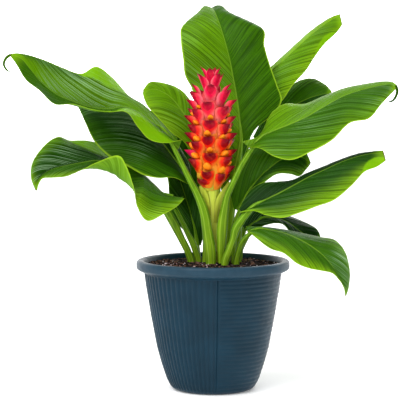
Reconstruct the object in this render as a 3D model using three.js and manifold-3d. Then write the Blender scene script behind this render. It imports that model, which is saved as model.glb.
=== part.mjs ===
// Potted cone ginger: a ribbed pot, its soil, one flower cone on its stalk, and the leaves on their stalks.
// Millimetres, +Z up, +X to the right, and the front looks towards -Y.
// The origin is the middle of the pot's foot, on the surface that the pot stands on.
import * as THREE from "three";
import { mergeVertices } from "three/addons/utils/BufferGeometryUtils.js";
import Module from "manifold-3d";

const wasm = await Module();
wasm.setup();

// Driving dimensions of the pot
const POT_HEIGHT = 182;
const FOOT_RADIUS = 55;
const RIM_RADIUS = 107.5;
const RIM_BOTTOM = 165.3;
const WALL = 3;
const FLOOR_THICKNESS = 4;
const RIM_WIDTH = 10;
const BEND_HEIGHT = 38;
const RIB_DEPTH = 1.1;
const UPRIGHT_RIBS = 72;
const RING_RIB_PITCH = 6;
const RIBS_FROM = 8;
const RIBS_TO = 163;
const ROUND_SIDES = 28;
const SEAM_ANGLE = THREE.MathUtils.degToRad(3.5);
const SEAM_WIDTH = 1.6;
const SEAM_DEPTH = 2.2;

// The pot's outer side as radius and height, from the foot to the rim
const POT_SIDE = [
  [62.6, RIBS_FROM],
  [73.1, BEND_HEIGHT],
  [79, 60],
  [94.4, 147],
  [96.4, RIBS_TO],
];

// Driving dimensions of the soil
const SOIL_TOP = 174;
const SOIL_MOUND = 4;
const FIT_GAP = 0.34;
const STEM_HOLE_GAP = 0.4;
const STEM_FOOT = 152;

// Driving dimensions of the leaves
const BLADE_THICKNESS = 0.9;
const RIB_KEEL = 1.3;
const CROWN = 0.1;
const HALF_COLUMNS = 3;
const FEWEST_ROWS = 6;
const STALK_SIDES = 6;

// Driving dimensions of the flower cone
const CONE_AXIS_X = -3;
const CONE_BOTTOM = 279;
const CONE_TOP = 434;
const CORE_RADIUS = 20;
const BRACT_WIDTH = 24;
const BRACT_OUT = 14;
const BRACT_PITCH = 23.2;
const LOWEST_LIP = 286;
const HIGHEST_LIP = 446;
const LOW_BRACT_RISE = 18;
const HIGH_BRACT_RISE = 28;
const BUD_ROWS = 2;
const BUD_RADIUS = 4.2;

// The cone's columns of bracts: degrees round from the right, and the height of the first bract's lip
const BRACT_COLUMNS = [
  [-97, 303.5],
  [-43, 294.5],
  [-4, 306],
  [32, 296],
  [72, 305],
  [112, 297],
  [150, 318],
  [186, 329.5],
  [217, 318],
];
const LOWEST_BRACT_TURN = -120;

// Plant points are given as seen from the front by an eye at EYE that looks at AIM:
// x to the right, height, and depth behind the pot's axis.
const EYE = new THREE.Vector3(-17.5, -2200, 422);
const AIM = new THREE.Vector3(-17.5, 0, 265);
const LOOK = AIM.clone().sub(EYE);
const REACH = LOOK.length();
const LOOK_UP = new THREE.Vector3(1, 0, 0).cross(LOOK).normalize();

function sight([x, height, depth]) {
  const seen = AIM.clone().addScaledVector(LOOK_UP, height - AIM.z);
  seen.x = x;
  return EYE.clone().lerp(seen, 1 + depth / REACH);
}

const COLOURS = {
  pot: 0x2b4658,
  soil: 0x2e1c12,
  leaf: 0x3f7a12,
  stalk: 0x9cba3c,
  cone: 0xc8202c,
};

function material(colour, roughness) {
  return new THREE.MeshStandardMaterial({ color: colour, roughness, metalness: 0 });
}

// Solids: a closed geometry to a solid and back
function solidOf(geometry) {
  const bare = geometry.clone();
  bare.deleteAttribute("normal");
  bare.deleteAttribute("uv");
  const merged = mergeVertices(bare, 1e-4);
  return new wasm.Manifold(
    new wasm.Mesh({
      numProp: 3,
      vertProperties: new Float32Array(merged.attributes.position.array),
      triVerts: new Uint32Array(merged.index.array),
    }),
  );
}

function geometryOf(solid) {
  const mesh = solid.getMesh();
  const positions = new Float32Array(mesh.numVert * 3);
  for (let i = 0; i < mesh.numVert; i++) {
    const from = i * mesh.numProp;
    positions.set(mesh.vertProperties.subarray(from, from + 3), i * 3);
  }
  const geometry = new THREE.BufferGeometry();
  geometry.setAttribute("position", new THREE.BufferAttribute(positions, 3));
  geometry.setIndex(new THREE.BufferAttribute(new Uint32Array(mesh.triVerts), 1));
  geometry.computeVertexNormals();
  return geometry;
}

function joined(solids) {
  return solids.reduce((whole, piece) => whole.add(piece));
}

function geometryFrom(points, faces) {
  const geometry = new THREE.BufferGeometry();
  const positions = points.flatMap((point) => point.toArray());
  geometry.setAttribute("position", new THREE.Float32BufferAttribute(positions, 3));
  geometry.setIndex(faces.flat());
  return geometry;
}

// A closed body through rings of equally many points, with a flat end at each side
function ringBody(rings) {
  const count = rings[0].length;
  const faces = [];
  for (let ring = 0; ring < rings.length - 1; ring++) {
    for (let i = 0; i < count; i++) {
      const next = (i + 1) % count;
      const low = ring * count;
      const high = low + count;
      faces.push([low + i, low + next, high + next], [low + i, high + next, high + i]);
    }
  }
  const last = (rings.length - 1) * count;
  for (let i = 1; i < count - 1; i++) {
    faces.push([0, i + 1, i], [last, last + i, last + i + 1]);
  }
  return geometryFrom(rings.flat(), faces);
}

// A round tube with its own radius at each point of its curve
function taperedTube(points, radii, steps, sides) {
  const curve = new THREE.CatmullRomCurve3(points, false, "catmullrom", 0.5);
  const tangents = [];
  const centres = [];
  for (let step = 0; step <= steps; step++) {
    centres.push(curve.getPoint(step / steps));
    tangents.push(curve.getTangent(step / steps));
  }
  const side = new THREE.Vector3(1, 0, 0);
  const rings = centres.map((centre, step) => {
    side.addScaledVector(tangents[step], -side.dot(tangents[step])).normalize();
    const across = new THREE.Vector3().crossVectors(tangents[step], side);
    const place = (step / steps) * (radii.length - 1);
    const index = Math.min(Math.floor(place), radii.length - 2);
    const radius = THREE.MathUtils.lerp(radii[index], radii[index + 1], place - index);
    return Array.from({ length: sides }, (_, i) => {
      const angle = (i / sides) * 2 * Math.PI;
      return centre
        .clone()
        .addScaledVector(side, radius * Math.cos(angle))
        .addScaledVector(across, radius * Math.sin(angle));
    });
  });
  return ringBody(rings);
}

// A thin closed body on both sides of a grid of points, whose upper side faces across x along
function thickSheet(grid, thickness, keel) {
  const rows = grid.length - 1;
  const columns = grid[0].length - 1;
  const upper = [];
  const lower = [];
  for (let row = 0; row <= rows; row++) {
    for (let column = 0; column <= columns; column++) {
      const across = new THREE.Vector3().subVectors(
        grid[row][Math.min(column + 1, columns)],
        grid[row][Math.max(column - 1, 0)],
      );
      const along = new THREE.Vector3().subVectors(
        grid[Math.min(row + 1, rows)][column],
        grid[Math.max(row - 1, 0)][column],
      );
      const normal = across.cross(along).normalize();
      const point = grid[row][column];
      upper.push(point.clone().addScaledVector(normal, thickness / 2));
      lower.push(point.clone().addScaledVector(normal, -thickness / 2 - keel(row / rows, column)));
    }
  }
  const width = columns + 1;
  const under = upper.length;
  const faces = [];
  for (let row = 0; row < rows; row++) {
    for (let column = 0; column < columns; column++) {
      const a = row * width + column;
      const b = a + 1;
      const d = a + width;
      const c = d + 1;
      faces.push([a, b, c], [a, c, d]);
      faces.push([a + under, c + under, b + under], [a + under, d + under, c + under]);
    }
    const left = row * width;
    const right = left + columns;
    faces.push([left, left + width, left + width + under], [left, left + width + under, left + under]);
    faces.push([right + width, right, right + under]);
    faces.push([right + width, right + under, right + width + under]);
  }
  for (let column = 0; column < columns; column++) {
    const tip = rows * width + column;
    faces.push([column + 1, column, column + under], [column + 1, column + under, column + 1 + under]);
    faces.push([tip, tip + 1, tip + 1 + under], [tip, tip + 1 + under, tip + under]);
  }
  return geometryFrom([...upper, ...lower], faces);
}

// The leaves, each from its foot in the soil to its tip.
// stalk: x, height, depth and radius. rib, left and right: the midrib and the two margins, point by point,
// named as seen from above the leaf with its tip away. bows: how far each half arches up, in millimetres.
const LEAVES = [
  {
    name: "leaf_top_centre",
    stalk: [
      [19, 176, 20, 4.6],
      [22.5, 220, 24, 5.4],
      [26, 262, 28, 6.2],
      [31, 300, 32, 5.8],
    ],
    rib: [
      [32, 304, 32],
      [39, 346, 38],
      [37, 380, 50],
      [33, 410, 58],
      [28, 438, 63],
      [23, 464, 68],
      [16, 490, 74],
      [9, 512, 86],
      [2, 530, 112],
      [-3, 534, 140],
      [-4, 518, 164],
    ],
    left: [
      [13, 274, 34],
      [-4, 340, 46],
      [-16, 386, 53],
      [-28, 419, 56],
      [-39, 440, 57],
      [-42, 464, 58],
      [-45, 488, 64],
      [-43.5, 508, 80],
      [-22, 528, 112],
      [-11, 537, 138],
      [-5, 518.5, 163.5],
    ],
    right: [
      [36, 304, 33],
      [56, 360, 44],
      [82, 384, 52],
      [96, 404, 54],
      [90, 426, 58],
      [80, 454, 62],
      [72, 482, 72],
      [69, 506, 86],
      [26, 527, 112],
      [9, 538, 138],
      [-3, 518.5, 163.5],
    ],
  },
  {
    name: "leaf_top_right",
    stalk: [
      [32, 176, 38, 4.6],
      [38, 240, 50, 3.8],
      [45, 310, 62, 3.3],
      [52, 372, 72, 3],
    ],
    rib: [
      [60, 416, 78],
      [76, 438, 84],
      [96, 459, 92],
      [116, 478, 98],
      [136, 496, 104],
      [154, 510, 108],
      [168, 519, 111],
      [178, 524, 113],
    ],
    left: [
      [58, 418, 80],
      [70, 441, 100],
      [91, 460, 118],
      [112, 478, 128],
      [133, 498, 130],
      [152, 513, 126],
      [166, 522, 119],
      [178, 526, 114],
    ],
    right: [
      [62, 414, 77],
      [90, 400, 70],
      [112, 427, 78],
      [130, 447, 86],
      [143, 467, 93],
      [156, 484, 98],
      [172, 499, 101],
      [181, 511, 106],
    ],
  },
  {
    name: "leaf_right_behind",
    stalk: [
      [37, 176, 52, 3.6],
      [40, 205, 57, 3.4],
      [44, 228, 62, 3.2],
      [50, 280, 76, 3],
      [55, 322, 88, 2.8],
    ],
    rib: [
      [60, 350, 94],
      [86, 378, 104],
      [112, 397, 112],
      [134, 408, 117],
      [150, 413, 121],
      [166, 416, 124],
    ],
    left: [
      [56, 354, 96],
      [82, 400, 122],
      [112, 428, 138],
      [137, 436, 142],
      [156, 428, 136],
      [166, 418, 125],
    ],
    right: [
      [66, 345, 93],
      [94, 358, 97],
      [118, 368, 100],
      [138, 382, 104],
      [156, 397, 110],
      [167, 414, 123],
    ],
  },
  {
    name: "leaf_right_high",
    stalk: [
      [11, 176, -9, 4.4],
      [11.5, 200, -11, 6.2],
      [12.5, 226, -12, 7.4],
      [15.5, 250, -12, 6],
      [20, 272, -14, 4.6],
      [31, 296, -15, 4.2],
      [42, 318, -10, 4],
    ],
    rib: [
      [53, 338, -5],
      [66, 352, -6],
      [86, 363, -9],
      [108, 372, -13],
      [132, 383, -18],
      [156, 397, -24],
      [182, 411, -30],
      [208, 420, -38],
      [234, 426, -46],
      [250, 428, -51],
      [256, 425, -55],
    ],
    left: [
      [41, 347, -2],
      [66, 357, 8],
      [80, 385, 30],
      [100, 400, 42],
      [130, 400, 44],
      [157, 410, 36],
      [186, 421, 20],
      [212, 426, 2],
      [236, 430.5, -20],
      [250, 431, -42],
      [257, 427, -54],
    ],
    right: [
      [48, 340, -8],
      [66, 338, -22],
      [86, 326.5, -32],
      [110, 322, -38],
      [135, 332, -44],
      [166, 349, -50],
      [191, 373, -56],
      [218, 379.5, -60],
      [235, 399, -63],
      [247, 412, -62],
      [256, 421, -57],
    ],
    tendril: [
      [256, 426, -55],
      [258, 418, -56],
      [255, 409, -57],
      [250, 404, -57],
      [245, 404, -57],
    ],
  },
  {
    name: "leaf_right_inner",
    stalk: [
      [29, 176, 6, 4],
      [29, 210, 9, 3.6],
      [30, 232, 11, 3.2],
    ],
    rib: [
      [33, 252, 13],
      [48, 275, 15],
      [64, 296, 15],
      [80, 311, 14],
      [97, 323, 13],
      [114, 327, 11],
      [127, 324, 8],
      [136, 316, 4],
    ],
    left: [
      [29, 253, 14],
      [24, 280, 17],
      [33, 308, 18],
      [51, 336, 24],
      [82, 346, 34],
      [112, 344, 30],
      [129, 334, 18],
      [137, 318, 5],
    ],
    right: [
      [38, 251, 12],
      [55, 275, 9],
      [73, 291, 6],
      [90, 302, 5],
      [108, 302, 6],
      [121, 299, 4],
      [130, 308, 3],
      [135, 314, 3],
    ],
  },
  {
    name: "leaf_right_middle",
    stalk: [
      [16, 176, -21, 5.4],
      [22, 194, -21, 5.2],
      [28, 210, -20, 5],
      [34, 229, -19, 6],
    ],
    rib: [
      [41, 248, -19],
      [56, 256, -22],
      [74, 266, -25],
      [94, 276, -28],
      [114, 287, -31],
      [136, 299, -34],
      [158, 309, -37],
      [180, 319, -40],
      [204, 327, -43],
      [226, 331, -46],
      [240, 329, -50],
    ],
    left: [
      [36, 253, -15],
      [50, 277, -7],
      [67, 289, -3],
      [91, 291.5, -4],
      [112, 294, -8],
      [134, 304, -12],
      [156, 312.5, -16],
      [179, 322, -22],
      [203, 330.5, -30],
      [225, 334, -40],
      [238, 335, -48],
    ],
    right: [
      [37, 248.5, -23],
      [57, 250.5, -34],
      [76, 244, -44],
      [98, 241, -50],
      [122, 248, -54],
      [146, 257, -58],
      [170, 266, -60],
      [194, 286, -60],
      [212, 305, -58],
      [229, 312, -55],
      [242, 321, -54],
    ],
  },
  {
    name: "leaf_right_low",
    stalk: [
      [32, 176, -11, 4.8],
      [36, 194, -13, 4.4],
      [42, 209, -15, 3.8],
    ],
    rib: [
      [49, 222, -18],
      [62, 225.5, -24],
      [80, 224, -30],
      [100, 219.5, -36],
      [120, 211, -42],
      [139, 200, -48],
      [156, 186, -53],
      [169, 170, -58],
      [178, 154, -63],
      [184, 141, -67],
      [185.5, 131, -70],
    ],
    left: [
      [46, 229, -15],
      [61, 228, -12],
      [82, 225.5, -10],
      [106, 222, -12],
      [129, 218, -15],
      [152, 213.5, -20],
      [170, 210, -28],
      [185, 193, -40],
      [191.5, 166, -52],
      [190, 144, -62],
      [186.5, 132, -69],
    ],
    right: [
      [48, 223, -21],
      [62, 211, -38],
      [80, 197.5, -46],
      [99, 191, -54],
      [117, 177, -60],
      [134, 170, -64],
      [152, 166.5, -67],
      [167, 163, -69],
      [177, 153, -71],
      [183, 143, -72],
      [185, 132, -72],
    ],
  },
  {
    name: "leaf_right_under",
    stalk: [
      [36, 176, 19, 3.8],
      [39, 196, 20, 3.2],
    ],
    rib: [
      [44, 224, 22],
      [64, 238, 27],
      [84, 241, 31],
      [104, 235, 34],
      [122, 222, 36],
      [136, 212, 37],
      [149, 204, 38],
    ],
    left: [
      [42, 230, 23],
      [57, 251, 34],
      [82, 251, 46],
      [108, 243, 52],
      [130, 234, 52],
      [146, 224, 46],
      [153, 206, 39],
    ],
    right: [
      [46, 222, 21],
      [66, 228, 20],
      [86, 233, 22],
      [101, 229, 24],
      [117, 205, 22],
      [132, 197, 26],
      [147, 202, 36],
    ],
  },
  {
    name: "leaf_left_high",
    stalk: [
      [-3, 176, -13, 7],
      [-4.5, 198, -13, 8],
      [-8.3, 222, -12, 7.2],
      [-12, 246, -12, 6.6],
      [-20.5, 270, -12, 5.4],
      [-34.7, 298, -11.4, 4.3],
    ],
    rib: [
      [-48, 338, -7],
      [-66, 359, -11],
      [-84, 374, -14],
      [-103, 388, -18],
      [-124, 396, -22],
      [-146, 393, -26],
      [-170, 395.5, -31],
      [-194, 403, -36],
      [-218, 413, -41],
      [-240, 430, -46],
      [-256, 449, -51],
      [-269, 464, -56],
      [-284, 469, -60],
    ],
    left: [
      [-44, 350, -12],
      [-66, 345.5, -26],
      [-89, 350.5, -36],
      [-106, 369, -44],
      [-121, 389, -56],
      [-143, 389.5, -66],
      [-167, 392, -72],
      [-196, 400, -74],
      [-222, 400, -69],
      [-243, 419, -66],
      [-262, 434, -64],
      [-275, 455, -62],
      [-284, 467.5, -61],
    ],
    right: [
      [-50, 352, -2],
      [-62, 363, 4],
      [-79, 381, 8],
      [-98, 399, 10],
      [-118, 412, 10],
      [-140, 436, 4],
      [-163, 452.5, -6],
      [-185, 442.5, -14],
      [-212, 451.5, -24],
      [-236, 461.5, -34],
      [-256, 468, -44],
      [-272, 471, -52],
      [-284, 470.5, -59],
    ],
    bows: [
      [0, 0],
      [4, 1],
      [5, 3],
      [5, 4],
      [1, 5],
      [-2, 5],
      [-3, 5],
      [-3, 4],
      [0, 4],
      [0, 3],
      [0, 2],
      [0, 1],
      [0, 0],
    ],
    tendril: [
      [-284, 469, -60],
      [-290, 464, -61],
      [-293, 456, -61],
      [-289, 448, -60],
      [-284, 445, -59],
    ],
  },
  {
    name: "leaf_left_inner",
    stalk: [
      [-8, 176, 30, 3.4],
      [-6, 215, 30, 3.2],
      [-6, 244, 31, 3],
      [-10, 264, 34, 2.8],
      [-16, 284, 37, 2.8],
      [-19, 302, 40, 2.6],
    ],
    rib: [
      [-21, 322, 41],
      [-27, 352, 43],
      [-35, 376, 45],
      [-47, 395, 47],
      [-60, 410, 48],
      [-73, 418, 48],
      [-85, 421, 48],
      [-98, 417, 47],
    ],
    left: [
      [-25, 318, 40],
      [-40, 346, 37],
      [-57, 359, 32],
      [-71, 374, 30],
      [-83, 387, 31],
      [-91, 396, 35],
      [-96, 406, 40],
      [-98.5, 415.5, 46],
    ],
    right: [
      [-14, 320, 42],
      [-16, 348, 52],
      [-21, 378, 58],
      [-30, 402, 60],
      [-44, 419, 60],
      [-63, 428, 58],
      [-87, 431, 54],
      [-98, 420, 48],
    ],
  },
  {
    name: "leaf_left_middle",
    stalk: [
      [-11, 176, 12, 4.4],
      [-11, 210, 10, 3.8],
      [-15, 245, 8, 3.4],
      [-23, 270, 8, 3.1],
    ],
    rib: [
      [-32, 290, 9],
      [-42, 307, 13],
      [-56, 326, 18],
      [-73, 348, 23],
      [-93, 369, 27],
      [-115, 385, 30],
      [-140, 395, 32],
      [-163, 401, 34],
      [-181, 404, 35],
      [-194, 405, 35],
    ],
    left: [
      [-35, 288, 5],
      [-55, 297, -4],
      [-77, 296.5, -10],
      [-98, 301, -14],
      [-119, 312.5, -16],
      [-144, 325.5, -14],
      [-165, 346, -6],
      [-178, 372, 8],
      [-187, 392, 24],
      [-194, 403, 34],
    ],
    right: [
      [-31, 294, 13],
      [-33, 314, 27],
      [-43, 334, 34],
      [-59, 357, 39],
      [-83, 378, 42],
      [-108, 396, 44],
      [-134, 412, 44],
      [-160, 416, 42],
      [-181, 411, 38],
      [-194, 407, 36],
    ],
  },
  {
    name: "leaf_left_low",
    stalk: [
      [-30, 176, 14, 5],
      [-35.5, 194, 12, 5],
      [-44.5, 212, 9, 5],
      [-54.5, 232, 6, 6],
      [-66, 252, 3, 5.6],
      [-78, 272, 1, 4],
    ],
    rib: [
      [-44, 268, -6],
      [-57, 271, -6],
      [-71, 276, -5],
      [-84, 288, -2],
      [-96, 300, 1],
      [-112, 310, 3],
      [-130, 317, 3],
      [-148, 320, 1],
      [-166, 321, -3],
      [-184, 318, -8],
      [-204, 314, -14],
      [-224, 309, -20],
      [-240, 300, -26],
      [-247, 289, -29],
      [-247.5, 279, -31],
    ],
    left: [
      [-40, 268, -9],
      [-51, 256.5, -24],
      [-70, 245.5, -38],
      [-92, 236.5, -46],
      [-106, 256, -48],
      [-111, 283, -45],
      [-121, 312, -42],
      [-133, 328, -38],
      [-160, 319.5, -38],
      [-184, 308, -39],
      [-205, 299, -39],
      [-224, 297, -37],
      [-238, 296, -34],
      [-244, 288, -32],
      [-246.5, 279, -31.5],
    ],
    right: [
      [-42, 270, -3],
      [-58, 267, 10],
      [-72, 270, 22],
      [-84, 281, 30],
      [-97, 294, 35],
      [-113, 310, 38],
      [-134, 329, 38],
      [-157, 344, 34],
      [-180, 349, 25],
      [-200, 349, 14],
      [-217, 354, 4],
      [-235, 343, -8],
      [-252, 320, -20],
      [-255, 298, -28],
      [-249, 280, -30.5],
    ],
    bows: [
      [0, 0],
      [3, 2],
      [5, 3],
      [6, 3],
      [5, 2],
      [-12, 0],
      [-20, -2],
      [-21, -2],
      [-11, 1],
      [-3, 5],
      [1, 6],
      [2, 6],
      [1, 4],
      [0, 1],
      [0, 0],
    ],
  },
  {
    name: "leaf_left_small",
    stalk: [
      [-20, 176, 21, 4.6],
      [-26, 199, 20, 4.6],
      [-35, 218, 19, 3.8],
    ],
    rib: [
      [-42, 228, 19],
      [-50, 246, 18],
      [-57, 258, 22],
      [-67, 262, 33],
      [-80, 263, 48],
      [-92, 258, 66],
      [-101, 249, 84],
    ],
    left: [
      [-43, 225, 20],
      [-58, 242, 20],
      [-61, 252, 30],
      [-68, 250, 44],
      [-80, 248, 58],
      [-92, 246, 72],
      [-101, 247, 85],
    ],
    right: [
      [-41, 229, 19],
      [-48, 249, 19],
      [-58, 263, 19],
      [-72, 267, 24],
      [-88, 271, 38],
      [-98, 264, 60],
      [-102, 250, 83],
    ],
  },
  {
    name: "leaf_left_behind",
    stalk: [[-20, 176, 46, 4.4]],
    rib: [
      [-20, 202, 52],
      [-25, 222, 55],
      [-31, 245, 58],
      [-38, 268, 61],
      [-46, 292, 65],
      [-56, 316, 71],
      [-69, 341, 80],
      [-84, 363, 92],
      [-99, 380, 106],
      [-114, 392, 122],
    ],
    left: [
      [-23, 202, 52],
      [-34, 224, 52],
      [-48, 250, 52],
      [-61, 273, 53],
      [-63.5, 298, 58],
      [-80, 326, 66],
      [-97, 347, 80],
      [-110, 366, 98],
      [-116, 382, 114],
      [-115.5, 391, 123],
    ],
    right: [
      [-17, 202, 52],
      [-12, 222, 52],
      [-10, 245, 52],
      [-12, 270, 52],
      [-15, 294, 54],
      [-24, 320, 60],
      [-38, 347, 68],
      [-58, 371, 80],
      [-82, 389, 100],
      [-112, 393.5, 121],
    ],
  },
  {
    name: "leaf_back_left",
    stalk: [
      [-19, 176, 66, 4.4],
      [-31, 210, 76, 3.8],
      [-50, 250, 90, 3.3],
      [-58, 280, 100, 3],
      [-66, 310, 112, 2.8],
    ],
    rib: [
      [-80, 336, 130],
      [-97, 353, 150],
      [-117, 365, 176],
      [-138, 371, 204],
      [-153, 370, 232],
      [-164, 364, 258],
    ],
    left: [
      [-80, 333, 132],
      [-101, 330, 166],
      [-126, 339, 194],
      [-148, 350, 220],
      [-160, 357, 242],
      [-165, 362, 259],
    ],
    right: [
      [-80, 339, 128],
      [-92, 374, 144],
      [-110, 390, 166],
      [-132, 394, 196],
      [-150, 386, 228],
      [-164, 367, 257],
    ],
  },
  {
    name: "leaf_back_centre",
    stalk: [
      [4, 176, 58, 4.6],
      [6, 240, 72, 3.8],
      [8, 300, 88, 3.2],
      [10, 350, 104, 2.9],
    ],
    rib: [
      [12, 382, 120],
      [14, 412, 146],
      [14, 434, 180],
      [12, 444, 218],
      [10, 440, 256],
      [8, 424, 290],
      [6, 402, 318],
    ],
    left: [
      [9, 382, 120],
      [-20, 402, 148],
      [-32, 428, 184],
      [-34, 438, 222],
      [-28, 436, 258],
      [-12, 422, 290],
      [4, 402, 319],
    ],
    right: [
      [15, 382, 120],
      [48, 406, 146],
      [62, 430, 182],
      [62, 440, 220],
      [52, 434, 258],
      [30, 420, 290],
      [8, 401, 319],
    ],
  },
  {
    name: "leaf_back_right",
    stalk: [
      [30, 176, 62, 4.4],
      [42, 230, 78, 3.7],
      [56, 280, 96, 3.2],
      [70, 318, 112, 2.9],
    ],
    rib: [
      [84, 344, 128],
      [103, 361, 148],
      [124, 374, 174],
      [144, 382, 202],
      [162, 384, 232],
      [177, 380, 260],
    ],
    left: [
      [83, 347, 126],
      [98, 384, 146],
      [120, 396, 170],
      [144, 402, 200],
      [164, 398, 232],
      [178, 383, 259],
    ],
    right: [
      [85, 341, 130],
      [110, 338, 164],
      [134, 348, 192],
      [154, 360, 218],
      [170, 368, 242],
      [178, 378, 261],
    ],
  },
];

// The blade's shape at a place along the leaf (0 to 1) and across it (-1 left, 0 midrib, 1 right)
function bladeShape(leaf) {
  const curves = [leaf.rib, leaf.left, leaf.right].map(
    (line) => new THREE.CatmullRomCurve3(line.map(sight), false, "catmullrom", 0.5),
  );
  const stations = leaf.rib.length - 1;

  function bow(along, half, width) {
    if (!leaf.bows) {
      return CROWN * width;
    }
    const place = along * stations;
    const index = Math.min(Math.floor(place), stations - 1);
    return THREE.MathUtils.lerp(leaf.bows[index][half], leaf.bows[index + 1][half], place - index);
  }

  return (along, across) => {
    const rib = curves[0].getPoint(along);
    const half = across < 0 ? 0 : 1;
    const reach = curves[half + 1].getPoint(along).sub(rib);
    const width = reach.length();
    const ahead = curves[0].getTangent(along);
    const normal = reach.clone().cross(ahead).normalize();
    if (half === 0) {
      normal.negate();
    }
    const share = Math.abs(across);
    const arch = 4 * share * (1 - share) * bow(along, half, width);
    return rib.addScaledVector(reach, share).addScaledVector(normal, arch);
  };
}

function bladeSolid(leaf, fewestRows = FEWEST_ROWS) {
  const shape = bladeShape(leaf);
  const rows = Math.max(fewestRows, leaf.rib.length - 1);
  const grid = [];
  for (let row = 0; row <= rows; row++) {
    const line = [];
    for (let column = -HALF_COLUMNS; column <= HALF_COLUMNS; column++) {
      line.push(shape(row / rows, column / HALF_COLUMNS));
    }
    grid.push(line);
  }
  const keel = (along, column) => (column === HALF_COLUMNS ? RIB_KEEL * (1 - along) : 0);
  return solidOf(thickSheet(grid, BLADE_THICKNESS, keel));
}

// A leaf stalk from its foot in the soil into the first part of the midrib, grown by a gap
function stalkSolid(leaf, gap) {
  const path = leaf.stalk.map(sight);
  const radii = leaf.stalk.map((point) => point[3]);
  const foot = path[0].clone();
  foot.z = STEM_FOOT - gap;
  path.unshift(foot);
  radii.unshift(radii[0]);
  for (const station of [1, 2]) {
    path.push(sight(leaf.rib[station]));
  }
  const end = radii[radii.length - 1];
  radii.push(end * 0.7, end * 0.4);
  const grown = radii.map((radius) => radius + gap);
  return solidOf(taperedTube(path, grown, path.length, STALK_SIDES));
}

function leafMesh(leaf) {
  const pieces = [bladeSolid(leaf), stalkSolid(leaf, 0)];
  if (leaf.tendril) {
    const radii = [2, 2.1, 2, 1.6, 0.7];
    pieces.push(solidOf(taperedTube(leaf.tendril.map(sight), radii, 6, 5)));
  }
  const mesh = new THREE.Mesh(geometryOf(joined(pieces)), material(COLOURS.leaf, 0.42));
  mesh.name = leaf.name;
  return mesh;
}

// The flower stalk stands in the soil and ends just under the cone
const FLOWER_STALK = [
  [1, 176, 4, 6.4],
  [1, 215, 3, 6.4],
  [1, 245, 1, 6.8],
  [-0.5, 265, 0, 8],
  [-1, CONE_BOTTOM - 5, 0, 9.2],
];

// A small sheath leaf hugs the stalk's right side
const STALK_SHEATH = {
  rib: [
    [4, 234, -4],
    [7, 252, -6],
    [11, 268, -5],
    [18, 284, -2],
  ],
  left: [
    [1, 234, -5],
    [2, 252, -9],
    [5, 268, -10],
    [17.5, 284, -3],
  ],
  right: [
    [6, 234, -2],
    [10, 252, 0],
    [14, 268, 2],
    [18.5, 283, -1],
  ],
};

function flowerStalkSolid(gap) {
  const path = FLOWER_STALK.map(sight);
  const radii = FLOWER_STALK.map((point) => point[3] + gap);
  const foot = path[0].clone();
  foot.z = STEM_FOOT - gap;
  path.unshift(foot);
  radii.unshift(radii[0]);
  const top = path[path.length - 1].clone();
  top.z = CONE_BOTTOM - FIT_GAP;
  path.push(top);
  radii.push(radii[radii.length - 1]);
  return solidOf(taperedTube(path, radii, 8, 10));
}

function flowerStalkMesh() {
  const solid = flowerStalkSolid(0).add(bladeSolid(STALK_SHEATH, 4));
  const mesh = new THREE.Mesh(geometryOf(solid), material(COLOURS.stalk, 0.45));
  mesh.name = "flower_stalk";
  return mesh;
}

// How full the cone is at a height: narrow where it meets the stalk, then full, closing to a blunt top
function coneSwell(z) {
  const opening = Math.min(1, 0.5 + (z - CONE_BOTTOM) / 40);
  const closing = Math.max(0, (z - CONE_BOTTOM) / (CONE_TOP - CONE_BOTTOM) - 0.68) / 0.32;
  return opening * Math.max(0.2, 1 - closing ** 1.8);
}

function coneCore() {
  const levels = [0, 0.13, 0.5, 0.72, 0.86, 0.94, 1];
  const rings = levels.map((share) => {
    const z = CONE_BOTTOM + share * (CONE_TOP - CONE_BOTTOM);
    const radius = CORE_RADIUS * coneSwell(z);
    return Array.from({ length: 12 }, (_, i) => {
      const angle = (i / 12) * 2 * Math.PI;
      return new THREE.Vector3(CONE_AXIS_X + radius * Math.cos(angle), radius * Math.sin(angle), z);
    });
  });
  return solidOf(ringBody(rings));
}

// Where each bract stands, column by column
function bractPlaces() {
  const places = [{ turn: LOWEST_BRACT_TURN, lip: LOWEST_LIP, row: 0 }];
  for (const [turn, firstLip] of BRACT_COLUMNS) {
    for (let row = 0; firstLip + row * BRACT_PITCH <= HIGHEST_LIP; row++) {
      places.push({ turn, lip: firstLip + row * BRACT_PITCH, row });
    }
  }
  return places;
}

// A bract's frame: millimetres out from the core's side and round the cone, and the share of its own height
function bractFrame({ turn, lip }) {
  const angle = THREE.MathUtils.degToRad(turn);
  const out = new THREE.Vector3(Math.cos(angle), Math.sin(angle), 0);
  const round = new THREE.Vector3(-Math.sin(angle), Math.cos(angle), 0);
  const high = (lip - LOWEST_LIP) / (HIGHEST_LIP - LOWEST_LIP);
  const rise = THREE.MathUtils.lerp(LOW_BRACT_RISE, HIGH_BRACT_RISE, high);
  const base = Math.max(lip - rise, CONE_BOTTOM + 3);
  const swell = coneSwell((lip + base) / 2);
  const size = 0.55 + 0.45 * swell;
  function place(away, sideways, share) {
    return new THREE.Vector3(CONE_AXIS_X, 0, base + share * (lip - base))
      .addScaledVector(out, CORE_RADIUS * swell + away * size)
      .addScaledVector(round, sideways * size);
  }
  return { place, high };
}

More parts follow.
